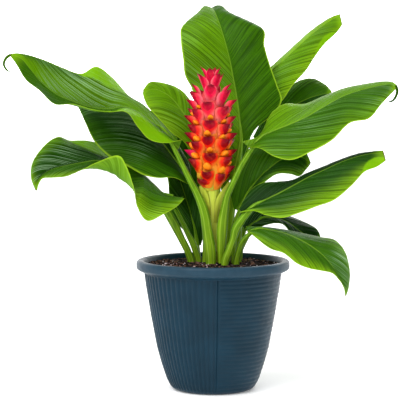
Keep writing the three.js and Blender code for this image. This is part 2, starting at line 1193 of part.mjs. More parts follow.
// A pouch-shaped bract: its lip hangs out between raised corners low down, and stands up near the top
function bractSolid(bract) {
  const { place, high } = bractFrame(bract);
  const half = BRACT_WIDTH / 2;
  const cornerRise = THREE.MathUtils.lerp(1.5, 0.8, high);
  const points = [
    place(-2, 0, 0),
    place(2, -0.7 * half, 0.5),
    place(2, 0.7 * half, 0.5),
    place(7, 0, 0.5),
    place(5, -half, cornerRise),
    place(5, half, cornerRise),
    place(THREE.MathUtils.lerp(BRACT_OUT, 8, high), 0, THREE.MathUtils.lerp(0.95, 1.2, high)),
    place(-3, 0, 1.1),
  ];
  const [bottom, left, right, belly, leftCorner, rightCorner, lip, throat] = points.keys();
  const faces = [
    [bottom, belly, left],
    [bottom, right, belly],
    [left, belly, lip],
    [right, lip, belly],
    [left, lip, leftCorner],
    [right, rightCorner, lip],
    [leftCorner, lip, throat],
    [rightCorner, throat, lip],
    [bottom, left, throat],
    [bottom, throat, right],
    [left, leftCorner, throat],
    [right, throat, rightCorner],
  ];
  return solidOf(geometryFrom(points, faces));
}

// A flower bud stands in the mouth of each lower bract
function budSolid(bract) {
  const { place } = bractFrame(bract);
  const corners = [
    place(-1, 0, 1.1),
    place(4, 0, 1.8),
    place(5 + BUD_RADIUS, 0, 1.5),
    place(3, BUD_RADIUS, 1.5),
    place(3, -BUD_RADIUS, 1.5),
  ];
  const faces = [[0, 3, 2], [0, 4, 3], [0, 2, 4], [1, 2, 3], [1, 3, 4], [1, 4, 2]];
  return solidOf(geometryFrom(corners, faces));
}

function flowerConeMesh() {
  const pieces = [coneCore()];
  for (const bract of bractPlaces()) {
    pieces.push(bractSolid(bract));
    if (bract.row < BUD_ROWS) {
      pieces.push(budSolid(bract));
    }
  }
  const mesh = new THREE.Mesh(geometryOf(joined(pieces)), material(COLOURS.cone, 0.4));
  mesh.name = "flower_cone";
  return mesh;
}

// Pot
function lathe(profile, sides) {
  const points = profile.map(([radius, z]) => new THREE.Vector2(radius, z));
  const geometry = new THREE.LatheGeometry(points, sides);
  geometry.rotateX(Math.PI / 2);
  return solidOf(geometry);
}

function sideRadius(z) {
  for (let i = 1; i < POT_SIDE.length; i++) {
    const [low, from] = POT_SIDE[i - 1];
    const [high, to] = POT_SIDE[i];
    if (z <= to) {
      return THREE.MathUtils.lerp(low, high, (z - from) / (to - from));
    }
  }
  return POT_SIDE[POT_SIDE.length - 1][0];
}

// The wall with upright ribs all round
function uprightRibWall() {
  const rings = POT_SIDE.map(([radius, z]) =>
    Array.from({ length: UPRIGHT_RIBS * 2 }, (_, i) => {
      const angle = ((i + 0.5) / UPRIGHT_RIBS) * Math.PI;
      const relief = radius - (i % 2) * RIB_DEPTH;
      return new THREE.Vector3(relief * Math.cos(angle), relief * Math.sin(angle), z);
    }),
  );
  return solidOf(ringBody(rings));
}

// The wall with level ribs all round, one above the other
function ringRibWall() {
  const profile = [[0, RIBS_FROM]];
  const count = Math.round((RIBS_TO - RIBS_FROM) / RING_RIB_PITCH);
  for (let rib = 0; rib < count; rib++) {
    const low = RIBS_FROM + rib * RING_RIB_PITCH;
    const middle = low + RING_RIB_PITCH / 2;
    profile.push([sideRadius(low) - RIB_DEPTH, low], [sideRadius(middle), middle]);
  }
  profile.push([sideRadius(RIBS_TO) - RIB_DEPTH, RIBS_TO], [0, RIBS_TO]);
  return lathe(profile, ROUND_SIDES);
}

// The smooth wall behind the ribs, which shows in the upright seams between them
function seamWall() {
  const profile = [[0, RIBS_FROM]];
  for (const [radius, z] of POT_SIDE) {
    profile.push([radius - SEAM_DEPTH, z]);
  }
  profile.push([0, RIBS_TO]);
  return lathe(profile, ROUND_SIDES);
}

// Two opposite quarters of everything round the axis, turned to the seam and spread apart
function oppositeQuarters(spread) {
  const size = 2 * RIM_RADIUS;
  const blocks = [1, -1].map((side) => {
    const block = new THREE.BoxGeometry(size, size, size);
    const move = side * (size / 2 + spread);
    block.translate(move, move, size / 2);
    block.rotateZ(SEAM_ANGLE);
    return solidOf(block);
  });
  return joined(blocks);
}

function potMesh() {
  const levelRibs = ringRibWall().subtract(oppositeQuarters(-SEAM_WIDTH / 2));
  const uprightRibs = uprightRibWall().intersect(oppositeQuarters(SEAM_WIDTH / 2));
  const band = joined([seamWall(), levelRibs, uprightRibs]);
  const foot = lathe(
    [[0, 0], [FOOT_RADIUS, 0], [FOOT_RADIUS + 3.5, 2.4], [61.2, RIBS_FROM], [0, RIBS_FROM + 3]],
    ROUND_SIDES,
  );
  const rim = lathe(
    [
      [0, RIBS_TO - 3],
      [95, RIBS_TO],
      [96.7, RIM_BOTTOM],
      [RIM_RADIUS, RIM_BOTTOM + 5],
      [RIM_RADIUS, POT_HEIGHT - 4],
      [RIM_RADIUS - 3, POT_HEIGHT - 0.4],
      [RIM_RADIUS - 6, POT_HEIGHT],
      [RIM_RADIUS - 10, POT_HEIGHT - 3],
      [0, POT_HEIGHT - 3],
    ],
    ROUND_SIDES,
  );
  const hollow = lathe(innerProfile(0, POT_HEIGHT + 2), ROUND_SIDES);
  const mesh = new THREE.Mesh(
    geometryOf(joined([band, foot, rim]).subtract(hollow)),
    material(COLOURS.pot, 0.38),
  );
  mesh.name = "pot";
  return mesh;
}

// The pot's inside, or what fills it, smaller by a gap all round
function innerProfile(gap, top) {
  const lowWall = sideRadius(BEND_HEIGHT) - WALL - RIB_DEPTH - gap;
  const highWall = sideRadius(RIBS_TO) - WALL - RIB_DEPTH - gap;
  const mouth = RIM_RADIUS - RIM_WIDTH - gap;
  const steepness = (mouth - highWall) / (POT_HEIGHT - RIBS_TO);
  return [
    [0, FLOOR_THICKNESS + gap],
    [FOOT_RADIUS - WALL - gap, FLOOR_THICKNESS + gap],
    [lowWall, BEND_HEIGHT],
    [highWall, RIBS_TO],
    [highWall + steepness * (top - RIBS_TO), top],
    [0, top],
  ];
}

function soilMesh() {
  const profile = innerProfile(FIT_GAP, SOIL_TOP);
  const edge = profile[profile.length - 2][0];
  profile.pop();
  profile.push([edge * 0.7, SOIL_TOP + SOIL_MOUND * 0.5]);
  profile.push([edge * 0.4, SOIL_TOP + SOIL_MOUND], [0, SOIL_TOP + SOIL_MOUND]);
  const holes = LEAVES.map((leaf) => stalkSolid(leaf, STEM_HOLE_GAP));
  holes.push(flowerStalkSolid(STEM_HOLE_GAP));
  const mesh = new THREE.Mesh(
    geometryOf(holes.reduce((soil, hole) => soil.subtract(hole), lathe(profile, ROUND_SIDES))),
    material(COLOURS.soil, 0.95),
  );
  mesh.name = "soil";
  return mesh;
}

const plant = new THREE.Group();
plant.add(potMesh(), soilMesh(), flowerStalkMesh(), flowerConeMesh());
for (const leaf of LEAVES) {
  plant.add(leafMesh(leaf));
}

export default plant;
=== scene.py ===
import math
import random

import bpy
import numpy as np
from mathutils import Matrix, Vector, noise


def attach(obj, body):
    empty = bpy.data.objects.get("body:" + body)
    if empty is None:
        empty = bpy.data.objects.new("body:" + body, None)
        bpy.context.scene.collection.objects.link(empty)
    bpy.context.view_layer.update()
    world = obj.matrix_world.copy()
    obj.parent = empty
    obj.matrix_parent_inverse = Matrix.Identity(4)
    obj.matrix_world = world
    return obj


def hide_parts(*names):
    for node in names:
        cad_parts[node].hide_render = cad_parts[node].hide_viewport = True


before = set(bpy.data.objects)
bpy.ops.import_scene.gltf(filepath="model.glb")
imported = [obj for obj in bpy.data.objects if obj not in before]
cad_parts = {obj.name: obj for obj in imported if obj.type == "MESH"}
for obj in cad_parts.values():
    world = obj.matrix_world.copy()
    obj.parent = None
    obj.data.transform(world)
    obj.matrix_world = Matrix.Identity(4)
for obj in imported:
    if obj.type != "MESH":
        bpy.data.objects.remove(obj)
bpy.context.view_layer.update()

MM = 0.001

# The plant's points are given in millimetres, as seen by the eye of the photograph:
# x to the right, height, and depth behind the pot's axis.
EYE = np.array((-17.5, -2200, 422))
AIM = np.array((-17.5, 0, 265))
REACH = np.linalg.norm(AIM - EYE)
LOOK_UP = np.cross((1, 0, 0), (AIM - EYE) / REACH)
FRAME_WIDTH = 560
SENSOR_WIDTH = 36
WHITE = (1, 1, 1, 1)

# Half a pixel of camera shift, which lays the picture on the photograph
CAMERA_STEP = np.array((-0.75, 0, 0.7))

# Driving dimensions of the pot, in millimetres, with its angle in radians
WALL = 3
BEND_HEIGHT = 38
FLOOR_THICKNESS = 4
FLOOR_RADIUS = 54
RIB_DEPTH = 1.1
FLUTE_DEPTH = 1.5
RING_DEPTH = 0.65
UPRIGHT_RIBS = 72
RING_RIB_PITCH = 6
RIBS_FROM = 8
RIBS_TO = 163
SEAM_ANGLE = math.radians(3.5)
SEAM_DEPTH = 1.2

# Soil and stems, in millimetres
SOIL_TOP = 174
SOIL_RADIUS = 95
SOIL_MOUND = 3.5
STEM_FOOT = 152
STEM_CLEARANCE = 7

# Flower cone, in millimetres
CONE_AXIS_X = -3
CONE_BOTTOM = 279
CONE_TOP = 434
CORE_RADIUS = 20
BRACT_PITCH = 23.2
LOWEST_LIP = 286
HIGHEST_LIP = 446
LOW_BRACT_RISE = 18
HIGH_BRACT_RISE = 28
BUD_ROWS = 4

# The pot's outline as radius and height: the foot from the middle outwards, the wall from there up,
# the rim from below to over its top, and the mouth's inside
POT_FOOT = [(0, 2), (38, 2), (44, 0.4), (46, 0), (49.6, 0), (53, 0.4), (56, 1.5)]
POT_SIDE = [
    (58, 3), (60, 5), (62.4, 9), (65.7, 16), (73, 38), (79, 60), (87.4, 105), (94.4, 147), (96.5, 163),
]
POT_RIM = [
    (97, 165.2), (98.6, 165.8), (103.2, 167.6), (106, 169.4), (107.1, 170.6), (107.5, 172), (107.5, 177.2),
    (107.1, 179.4), (105.8, 181), (103.8, 181.8), (101.4, 182), (99.4, 181.6), (98, 180.6),
]
POT_MOUTH = [(97, 179), (95.9, 175), (94.3, 170)]

# Columns of points on an upright rib, and on a quarter with level ribs
RIB_COLUMNS = 8
LEVEL_COLUMNS = 44

# The cone's columns of bracts: degrees round from the right, and the height of the first bract's lip
BRACT_COLUMNS = [
    (-97, 303.5), (-43, 297.5), (-5, 306), (29, 296), (70, 305), (112, 297), (154, 318), (186, 329.5),
    (214, 318),
]
LOWEST_BRACT_TURN = -120
LOWEST_BRACT_LIP = 291
LOWEST_BRACT_GROWTH = 1.3
BRACT_SWAY = 4.5

# The one bract that is pinker than the rest: its column's degrees and its row
BLUSHING_BRACT = (186, 0)

# Leaf greens. Colours are given as a screen shows them, 0 to 255. They are partly the leaves' own tone
# and partly painted light and shade: a half or a leaf that the light reaches less, or that lies behind
# others, is given a darker green.
DEEP = (20, 52, 8)
DARK = (34, 76, 6)
GREEN = (58, 106, 4)
BRIGHT = (94, 144, 5)
LIME = (124, 172, 16)
# The brighter green painted on folds that face the light: painted light
LIT_FOLD_GREEN = (112, 166, 6)

# The leaves, each from its foot in the soil to its tip.
# stalk: x, height, depth and radius.
# rib, left and right: the midrib and the two margins, as seen from above the leaf with its tip away.
# bows: how far each half arches up in millimetres, where that isn't a share of its width.
# tendril: the thread at the tip.
# look: the left half's colour near the midrib and at the margin, the right half's the same, how much
# pale painted sheen, a painted reflection, the two halves' veins carry, and how far the veins slant
# forwards.
# flaps: parts that fold up or bulge beyond a crease, painted brighter as painted light where they face the
# lamp. Each has its half (-1 left, 1 right), where along the leaf it starts and ends, how far across its
# crease comes in, and how soft that is.
LEAVES = {}
LEAVES["leaf_top_centre"] = dict(
    stalk=[(19, 176, 20, 4.6), (22.5, 220, 24, 5.4), (26, 262, 28, 6.2), (31, 300, 32, 5.8)],
    rib=[(32, 304, 32), (39, 346, 38), (37, 380, 50), (33, 410, 58), (28, 438, 63), (23, 464, 68),
        (16, 490, 74), (9, 512, 86), (2, 530, 112), (-3, 534, 140), (-4, 518, 164)],
    left=[(13, 274, 34), (-4, 340, 46), (-16, 386, 53), (-28, 419, 56), (-39, 440, 57), (-42, 464, 58),
        (-45, 488, 64), (-43.5, 508, 80), (-22, 528, 112), (-11, 537, 138), (-5, 518.5, 163.5)],
    right=[(36, 304, 33), (56, 360, 44), (82, 384, 52), (96, 404, 54), (90, 426, 58), (80, 454, 62),
        (72, 482, 72), (69, 506, 86), (26, 527, 112), (9, 538, 138), (-3, 518.5, 163.5)],
    look=(BRIGHT, BRIGHT, GREEN, GREEN, 0.15, 0, 1.2),
)
LEAVES["leaf_top_right"] = dict(
    stalk=[(32, 176, 38, 4.6), (38, 240, 50, 3.8), (45, 310, 62, 3.3), (52, 372, 72, 3)],
    rib=[(60, 416, 78), (76, 438, 84), (96, 459, 92), (116, 478, 98), (136, 496, 104), (154, 510, 108),
        (168, 519, 111), (178, 524, 113)],
    left=[(58, 418, 80), (70, 441, 100), (91, 460, 118), (112, 478, 128), (133, 498, 130),
        (152, 513, 126), (166, 522, 119), (178, 526, 114)],
    right=[(62, 414, 77), (90, 400, 70), (112, 427, 78), (130, 447, 86), (143, 467, 93), (156, 484, 98),
        (172, 499, 101), (181, 511, 106)],
    look=(LIME, LIME, BRIGHT, LIME, 0.4, 0.25, 2.4),
    flaps=[(1, 0.56, 0.88, 0.66, 0.03)],
)
LEAVES["leaf_right_behind"] = dict(
    stalk=[(37, 176, 52, 3.6), (40, 205, 57, 3.4), (44, 228, 62, 3.2), (50, 280, 76, 3),
        (55, 322, 88, 2.8)],
    rib=[(60, 350, 94), (86, 378, 104), (112, 397, 112), (134, 408, 117), (150, 413, 121),
        (166, 416, 124)],
    left=[(56, 354, 96), (82, 400, 122), (112, 428, 138), (137, 436, 142), (156, 428, 136),
        (166, 418, 125)],
    right=[(66, 345, 93), (94, 358, 97), (118, 368, 100), (138, 382, 104), (156, 397, 110),
        (167, 414, 123)],
    look=(GREEN, BRIGHT, DARK, GREEN, 0.45, 0.35, 2),
)
LEAVES["leaf_right_high"] = dict(
    stalk=[(11, 176, -9, 4.4), (11.5, 200, -11, 6.2), (12.5, 226, -12, 7.4), (15.5, 250, -12, 6),
        (20, 272, -14, 4.6), (31, 296, -15, 4.2), (42, 318, -10, 4)],
    rib=[(53, 338, -5), (66, 352, -6), (86, 363, -9), (108, 372, -13), (132, 383, -18), (156, 397, -24),
        (182, 411, -30), (208, 420, -38), (234, 426, -46), (250, 428, -51), (256, 425, -55)],
    left=[(41, 347, -2), (66, 357, 8), (80, 385, 30), (100, 400, 42), (130, 400, 44), (157, 410, 36),
        (186, 421, 20), (212, 426, 2), (236, 430.5, -20), (250, 431, -42), (257, 427, -54)],
    right=[(48, 340, -8), (66, 338, -22), (86, 326.5, -32), (110, 322, -38), (135, 332, -44),
        (166, 349, -50), (191, 373, -56), (218, 379.5, -60), (235, 399, -63), (247, 412, -62),
        (256, 421, -57)],
    tendril=[(256, 426, -55), (258, 418, -56), (255, 409, -57), (250, 404, -57), (245, 404, -57)],
    look=(BRIGHT, LIME, GREEN, BRIGHT, 0.25, 0.3, 2.6),
)
LEAVES["leaf_right_inner"] = dict(
    stalk=[(29, 176, 6, 4), (29, 210, 9, 3.6), (30, 232, 11, 3.2)],
    rib=[(33, 252, 13), (48, 275, 15), (64, 296, 15), (80, 311, 14), (97, 323, 13), (114, 327, 11),
        (127, 324, 8), (136, 316, 4)],
    left=[(29, 253, 14), (24, 280, 17), (33, 308, 18), (51, 336, 24), (82, 346, 34), (112, 344, 30),
        (129, 334, 18), (137, 318, 5)],
    right=[(38, 251, 12), (55, 275, 9), (73, 291, 6), (90, 302, 5), (108, 302, 6), (121, 299, 4),
        (130, 308, 3), (135, 314, 3)],
    look=(GREEN, GREEN, DARK, BRIGHT, 0.1, 0.1, 2.6),
)
LEAVES["leaf_right_middle"] = dict(
    stalk=[(16, 176, -21, 5.4), (22, 194, -21, 5.2), (28, 210, -20, 5), (34, 229, -19, 6)],
    rib=[(41, 248, -19), (56, 256, -22), (74, 266, -25), (94, 276, -28), (114, 287, -31),
        (136, 299, -34), (158, 309, -37), (180, 319, -40), (204, 327, -43), (226, 331, -46),
        (240, 329, -50)],
    left=[(36, 253, -15), (50, 277, -7), (67, 289, -3), (91, 291.5, -4), (112, 294, -8),
        (134, 304, -12), (156, 312.5, -16), (179, 322, -22), (203, 330.5, -30), (225, 334, -40),
        (238, 335, -48)],
    right=[(37, 248.5, -23), (57, 250.5, -34), (76, 244, -44), (98, 241, -50), (122, 248, -54),
        (146, 257, -58), (170, 266, -60), (194, 286, -60), (212, 305, -58), (229, 312, -55),
        (242, 321, -54)],
    look=(DEEP, DARK, DARK, LIME, 0.06, 0.1, 2.8),
    flaps=[(1, 0.78, 1.06, 0.35, 0.06)],
)
LEAVES["leaf_right_low"] = dict(
    stalk=[(32, 176, -11, 4.8), (36, 194, -13, 4.4), (42, 209, -15, 3.8)],
    rib=[(49, 222, -18), (62, 225.5, -24), (80, 224, -30), (100, 219.5, -36), (120, 211, -42),
        (139, 200, -48), (156, 186, -53), (169, 170, -58), (178, 154, -63), (184, 141, -67),
        (185.5, 131, -70)],
    left=[(46, 229, -15), (61, 228, -12), (82, 225.5, -10), (106, 222, -12), (129, 218, -15),
        (152, 213.5, -20), (170, 210, -28), (185, 193, -40), (191.5, 166, -52), (190, 144, -62),
        (186.5, 132, -69)],
    right=[(48, 223, -21), (62, 211, -38), (80, 197.5, -46), (99, 191, -54), (117, 177, -60),
        (134, 170, -64), (152, 166.5, -67), (167, 163, -69), (177, 153, -71), (183, 143, -72),
        (185, 132, -72)],
    look=(GREEN, BRIGHT, GREEN, LIME, 0.75, 0.15, 2.4),
)
LEAVES["leaf_right_under"] = dict(
    stalk=[(36, 176, 19, 3.8), (39, 196, 20, 3.2)],
    rib=[(44, 224, 22), (64, 238, 27), (84, 241, 31), (104, 235, 34), (122, 222, 36), (136, 212, 37),
        (149, 204, 38)],
    left=[(42, 230, 23), (57, 251, 34), (82, 251, 46), (108, 243, 52), (130, 234, 52), (146, 224, 46),
        (153, 206, 39)],
    right=[(46, 222, 21), (66, 228, 20), (86, 233, 22), (101, 229, 24), (117, 205, 22), (132, 197, 26),
        (147, 202, 36)],
    look=(DEEP, DARK, DEEP, DARK, 0.3, 0.3, 2),
)
LEAVES["leaf_left_high"] = dict(
    stalk=[(-3, 176, -13, 7), (-4.5, 198, -13, 8), (-8.3, 222, -12, 7.2), (-12, 246, -12, 6.6),
        (-20.5, 270, -12, 5.4), (-34.7, 298, -11.4, 4.3)],
    rib=[(-48, 338, -7), (-66, 359, -11), (-84, 374, -14), (-103, 388, -18), (-124, 396, -22),
        (-146, 393, -26), (-170, 395.5, -31), (-194, 403, -36), (-218, 413, -41), (-240, 430, -46),
        (-256, 449, -51), (-269, 464, -56), (-284, 469, -60)],
    left=[(-44, 350, -12), (-66, 345.5, -26), (-89, 350.5, -36), (-106, 369, -44), (-121, 389, -56),
        (-143, 389.5, -66), (-167, 392, -72), (-196, 400, -74), (-222, 400, -69), (-243, 419, -66),
        (-262, 434, -64), (-275, 455, -62), (-284, 467.5, -61)],
    right=[(-50, 352, -2), (-62, 363, 4), (-79, 381, 8), (-98, 399, 10), (-118, 412, 10),
        (-140, 436, 4), (-163, 452.5, -6), (-185, 442.5, -14), (-212, 451.5, -24), (-236, 461.5, -34),
        (-256, 468, -44), (-272, 471, -52), (-284, 470.5, -59)],
    bows=[(0, 0), (4, 1), (5, 3), (5, 4), (1, 5), (-2, 5), (-3, 5), (-3, 4), (0, 4), (0, 3), (0, 2),
        (0, 1), (0, 0)],
    tendril=[(-284, 469, -60), (-290, 464, -61), (-293, 456, -61), (-289, 448, -60), (-284, 445, -59)],
    look=(GREEN, GREEN, BRIGHT, GREEN, 0.05, 0.75, 3),
    flaps=[(1, 0.29, 0.6, 0.6, 0.02), (-1, 0.02, 0.44, 0.2, 0.25)],
)
LEAVES["leaf_left_inner"] = dict(
    stalk=[(-8, 176, 30, 3.4), (-6, 215, 30, 3.2), (-6, 244, 31, 3), (-10, 264, 34, 2.8),
        (-16, 284, 37, 2.8), (-19, 302, 40, 2.6)],
    rib=[(-21, 322, 41), (-27, 352, 43), (-35, 376, 45), (-47, 395, 47), (-60, 410, 48), (-73, 418, 48),
        (-85, 421, 48), (-98, 417, 47)],
    left=[(-25, 318, 40), (-40, 346, 37), (-57, 359, 32), (-71, 374, 30), (-83, 387, 31),
        (-91, 396, 35), (-96, 406, 40), (-98.5, 415.5, 46)],
    right=[(-14, 320, 42), (-16, 348, 52), (-21, 378, 58), (-30, 402, 60), (-44, 419, 60),
        (-63, 428, 58), (-87, 431, 54), (-98, 420, 48)],
    look=(BRIGHT, LIME, BRIGHT, LIME, 0.1, 0.1, 1.8),
)
LEAVES["leaf_left_middle"] = dict(
    stalk=[(-11, 176, 12, 4.4), (-11, 210, 10, 3.8), (-15, 245, 8, 3.4), (-23, 270, 8, 3.1)],
    rib=[(-32, 290, 9), (-42, 307, 13), (-56, 326, 18), (-73, 348, 23), (-93, 369, 27), (-115, 385, 30),
        (-140, 395, 32), (-163, 401, 34), (-181, 404, 35), (-194, 405, 35)],
    left=[(-35, 288, 5), (-55, 297, -4), (-77, 296.5, -10), (-98, 301, -14), (-119, 312.5, -16),
        (-144, 325.5, -14), (-165, 346, -6), (-178, 372, 8), (-187, 392, 24), (-194, 403, 34)],
    right=[(-31, 294, 13), (-33, 314, 27), (-43, 334, 34), (-59, 357, 39), (-83, 378, 42),
        (-108, 396, 44), (-134, 412, 44), (-160, 416, 42), (-181, 411, 38), (-194, 407, 36)],
    look=(DARK, GREEN, DEEP, DARK, 0.5, 0.7, 2),
)
LEAVES["leaf_left_low"] = dict(
    stalk=[(-30, 176, 14, 5), (-35.5, 194, 12, 5), (-44.5, 212, 9, 5), (-54.5, 232, 6, 6),
        (-66, 252, 3, 5.6), (-78, 272, 1, 4)],
    rib=[(-44, 268, -6), (-57, 271, -6), (-71, 276, -5), (-84, 288, -2), (-96, 300, 1), (-112, 310, 3),
        (-130, 317, 3), (-148, 320, 1), (-166, 321, -3), (-184, 318, -8), (-204, 314, -14),
        (-224, 309, -20), (-240, 300, -26), (-247, 289, -29), (-247.5, 279, -31)],
    left=[(-40, 268, -9), (-51, 256.5, -24), (-70, 245.5, -38), (-92, 236.5, -46), (-106, 256, -48),
        (-111, 283, -45), (-121, 312, -42), (-133, 328, -38), (-160, 319.5, -38), (-184, 308, -39),
        (-205, 299, -39), (-224, 297, -37), (-238, 296, -34), (-244, 288, -32), (-246.5, 279, -31.5)],
    right=[(-42, 270, -3), (-58, 267, 10), (-72, 270, 22), (-84, 281, 30), (-97, 294, 35),
        (-113, 310, 38), (-134, 329, 38), (-157, 344, 34), (-180, 349, 25), (-200, 349, 14),
        (-217, 354, 4), (-235, 343, -8), (-252, 320, -20), (-255, 298, -28), (-249, 280, -30.5)],
    bows=[(0, 0), (3, 2), (5, 3), (6, 3), (5, 2), (-12, 0), (-20, -2), (-21, -2), (-11, 1), (-3, 5),
        (1, 6), (2, 6), (1, 4), (0, 1), (0, 0)],
    look=(GREEN, LIME, DARK, BRIGHT, 0.15, 0.75, 2.2),
    flaps=[(1, 0.3, 0.66, 0.3, 0.12)],
)
LEAVES["leaf_left_small"] = dict(
    stalk=[(-20, 176, 21, 4.6), (-26, 199, 20, 4.6), (-35, 218, 19, 3.8)],
    rib=[(-42, 228, 19), (-50, 246, 18), (-57, 258, 22), (-67, 262, 33), (-80, 263, 48), (-92, 258, 66),
        (-101, 249, 84)],
    left=[(-43, 225, 20), (-58, 242, 20), (-61, 252, 30), (-68, 250, 44), (-80, 248, 58),
        (-92, 246, 72), (-101, 247, 85)],
    right=[(-41, 229, 19), (-48, 249, 19), (-58, 263, 19), (-72, 267, 24), (-88, 271, 38),
        (-98, 264, 60), (-102, 250, 83)],
    look=(GREEN, BRIGHT, GREEN, BRIGHT, 0.1, 0.1, 2),
)
LEAVES["leaf_left_behind"] = dict(
    stalk=[(-20, 176, 46, 4.4)],
    rib=[(-20, 202, 52), (-25, 222, 55), (-31, 245, 58), (-38, 268, 61), (-46, 292, 65), (-56, 316, 71),
        (-69, 341, 80), (-84, 363, 92), (-99, 380, 106), (-114, 392, 122)],
    left=[(-23, 202, 52), (-34, 224, 52), (-48, 250, 52), (-61, 273, 53), (-63.5, 298, 58),
        (-80, 326, 66), (-97, 347, 80), (-110, 366, 98), (-116, 382, 114), (-115.5, 391, 123)],
    right=[(-17, 202, 52), (-12, 222, 52), (-10, 245, 52), (-12, 270, 52), (-15, 294, 54),
        (-24, 320, 60), (-38, 347, 68), (-58, 371, 80), (-82, 389, 100), (-112, 393.5, 121)],
    look=(DARK, GREEN, DARK, GREEN, 0.3, 0.2, 2),
)
LEAVES["leaf_back_left"] = dict(
    stalk=[(-19, 176, 66, 4.4), (-31, 210, 76, 3.8), (-50, 250, 90, 3.3), (-58, 280, 100, 3),
        (-66, 310, 112, 2.8)],
    rib=[(-80, 336, 130), (-97, 353, 150), (-117, 365, 176), (-138, 371, 204), (-153, 370, 232),
        (-164, 364, 258)],
    left=[(-80, 333, 132), (-101, 330, 166), (-126, 339, 194), (-148, 350, 220), (-160, 357, 242),
        (-165, 362, 259)],
    right=[(-80, 339, 128), (-92, 374, 144), (-110, 390, 166), (-132, 394, 196), (-150, 386, 228),
        (-164, 367, 257)],
    look=(DARK, GREEN, DARK, GREEN, 0.3, 0.3, 2),
)
LEAVES["leaf_back_centre"] = dict(
    stalk=[(4, 176, 58, 4.6), (6, 240, 72, 3.8), (8, 300, 88, 3.2), (10, 350, 104, 2.9)],
    rib=[(12, 382, 120), (14, 412, 146), (14, 434, 180), (12, 444, 218), (10, 440, 256), (8, 424, 290),
        (6, 402, 318)],
    left=[(9, 382, 120), (-20, 402, 148), (-32, 428, 184), (-34, 438, 222), (-28, 436, 258),
        (-12, 422, 290), (4, 402, 319)],
    right=[(15, 382, 120), (48, 406, 146), (62, 430, 182), (62, 440, 220), (52, 434, 258),
        (30, 420, 290), (8, 401, 319)],
    look=(GREEN, BRIGHT, DARK, GREEN, 0.3, 0.3, 1.6),
)
LEAVES["leaf_back_right"] = dict(
    stalk=[(30, 176, 62, 4.4), (42, 230, 78, 3.7), (56, 280, 96, 3.2), (70, 318, 112, 2.9)],
    rib=[(84, 344, 128), (103, 361, 148), (124, 374, 174), (144, 382, 202), (162, 384, 232),
        (177, 380, 260)],
    left=[(83, 347, 126), (98, 384, 146), (120, 396, 170), (144, 402, 200), (164, 398, 232),
        (178, 383, 259)],
    right=[(85, 341, 130), (110, 338, 164), (134, 348, 192), (154, 360, 218), (170, 368, 242),
        (178, 378, 261)],
    look=(DARK, GREEN, DARK, GREEN, 0.3, 0.3, 2),
)


def sight(points):
    """Seen points in millimetres to places in the frame, in metres"""
    table = np.array([point[:3] for point in points], float)
    seen = AIM + np.outer(table[:, 1] - AIM[2], LOOK_UP)
    seen[:, 0] = table[:, 0]
    return (EYE + (seen - EYE) * (1 + table[:, 2] / REACH)[:, None]) * MM


def smooth_line(points, shares):
    """Places along a smooth line through the points, which are evenly numbered from 0 to 1"""
    points = np.asarray(points, float)
    ends = np.concatenate([[2 * points[0] - points[1]], points, [2 * points[-1] - points[-2]]])
    place = np.clip(shares, 0, 1) * (len(points) - 1)
    index = np.minimum(place.astype(int), len(points) - 2)
    t = (place - index).reshape((-1,) + (1,) * (points.ndim - 1))
    a, b, c, d = (ends[index + step] for step in range(4))
    bend = a - 2.5 * b + 2 * c - 0.5 * d
    twist = 1.5 * (b - c) + 0.5 * (d - a)
    return b + 0.5 * t * (c - a) + t**2 * bend + t**3 * twist


def unit(vectors):
    return vectors / np.maximum(np.linalg.norm(vectors, axis=-1, keepdims=True), 1e-12)


def smoothstep(low, high, value):
    share = np.clip((value - low) / (high - low), 0, 1)
    return share * share * (3 - 2 * share)


def add_object(name, data):
    holder = bpy.data.objects.new(name, data)
    bpy.context.scene.collection.objects.link(holder)
    return holder


class Shape:
    """Gathers points, faces, face materials and named values for one piece's mesh"""

    def __init__(self):
        self.points = []
        self.faces = []
        self.slots = []
        self.values = {}
        self.count = 0

    def add(self, points, faces, slot=0, **values):
        points = np.asarray(points, float).reshape(-1, 3)
        self.points.append(points)
        self.faces.append(np.asarray(faces, int) + self.count)
        self.slots.append(np.full(len(faces), slot))
        for key in self.values | values:
            given = np.broadcast_to(np.ravel(values.get(key, 0)), len(points))
            before = self.values.setdefault(key, [np.zeros(self.count)])
            before.append(np.asarray(given, float))
        self.count += len(points)

    def add_rings(self, grid, poles, slot=0, flipped=False, **values):
        """A closed body of the grid's rows as rings and a pole at each end, whose values come last"""
        rows, sides = grid.shape[:2]
        start = self.count
        faces = grid_faces(rows, sides, closed=True, flipped=flipped)
        self.add(np.concatenate([grid.reshape(-1, 3), poles]), faces, slot, **values)
        ring = np.arange(sides)
        after = np.roll(ring, -1)
        last = (rows - 1) * sides
        for number, cap in enumerate(((after, ring), (last + ring, last + after))):
            cap = cap[::-1] if flipped else cap
            pole = np.full(sides, rows * sides + number)
            self.faces.append(np.stack([*cap, pole], axis=1) + start)
            self.slots.append(np.full(sides, slot))

    def piece(self, name, materials, sharp=math.radians(50)):
        """The finished object, which rides on the part's one body"""
        mesh = bpy.data.meshes.new(name)
        faces = [face for group in self.faces for face in group.tolist()]
        mesh.from_pydata(np.concatenate(self.points).tolist(), [], faces)
        for material in materials:
            mesh.materials.append(material)
        mesh.polygons.foreach_set("material_index", np.concatenate(self.slots))
        mesh.polygons.foreach_set("use_smooth", np.ones(len(faces), bool))
        for key, parts in self.values.items():
            attribute = mesh.attributes.new(key, "FLOAT", "POINT")
            attribute.data.foreach_set("value", np.concatenate(parts).astype(np.float32))
        mesh.set_sharp_from_angle(angle=sharp)
        mesh.validate()
        mesh.update()
        piece = add_object(name, mesh)
        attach(piece, "root")
        return piece


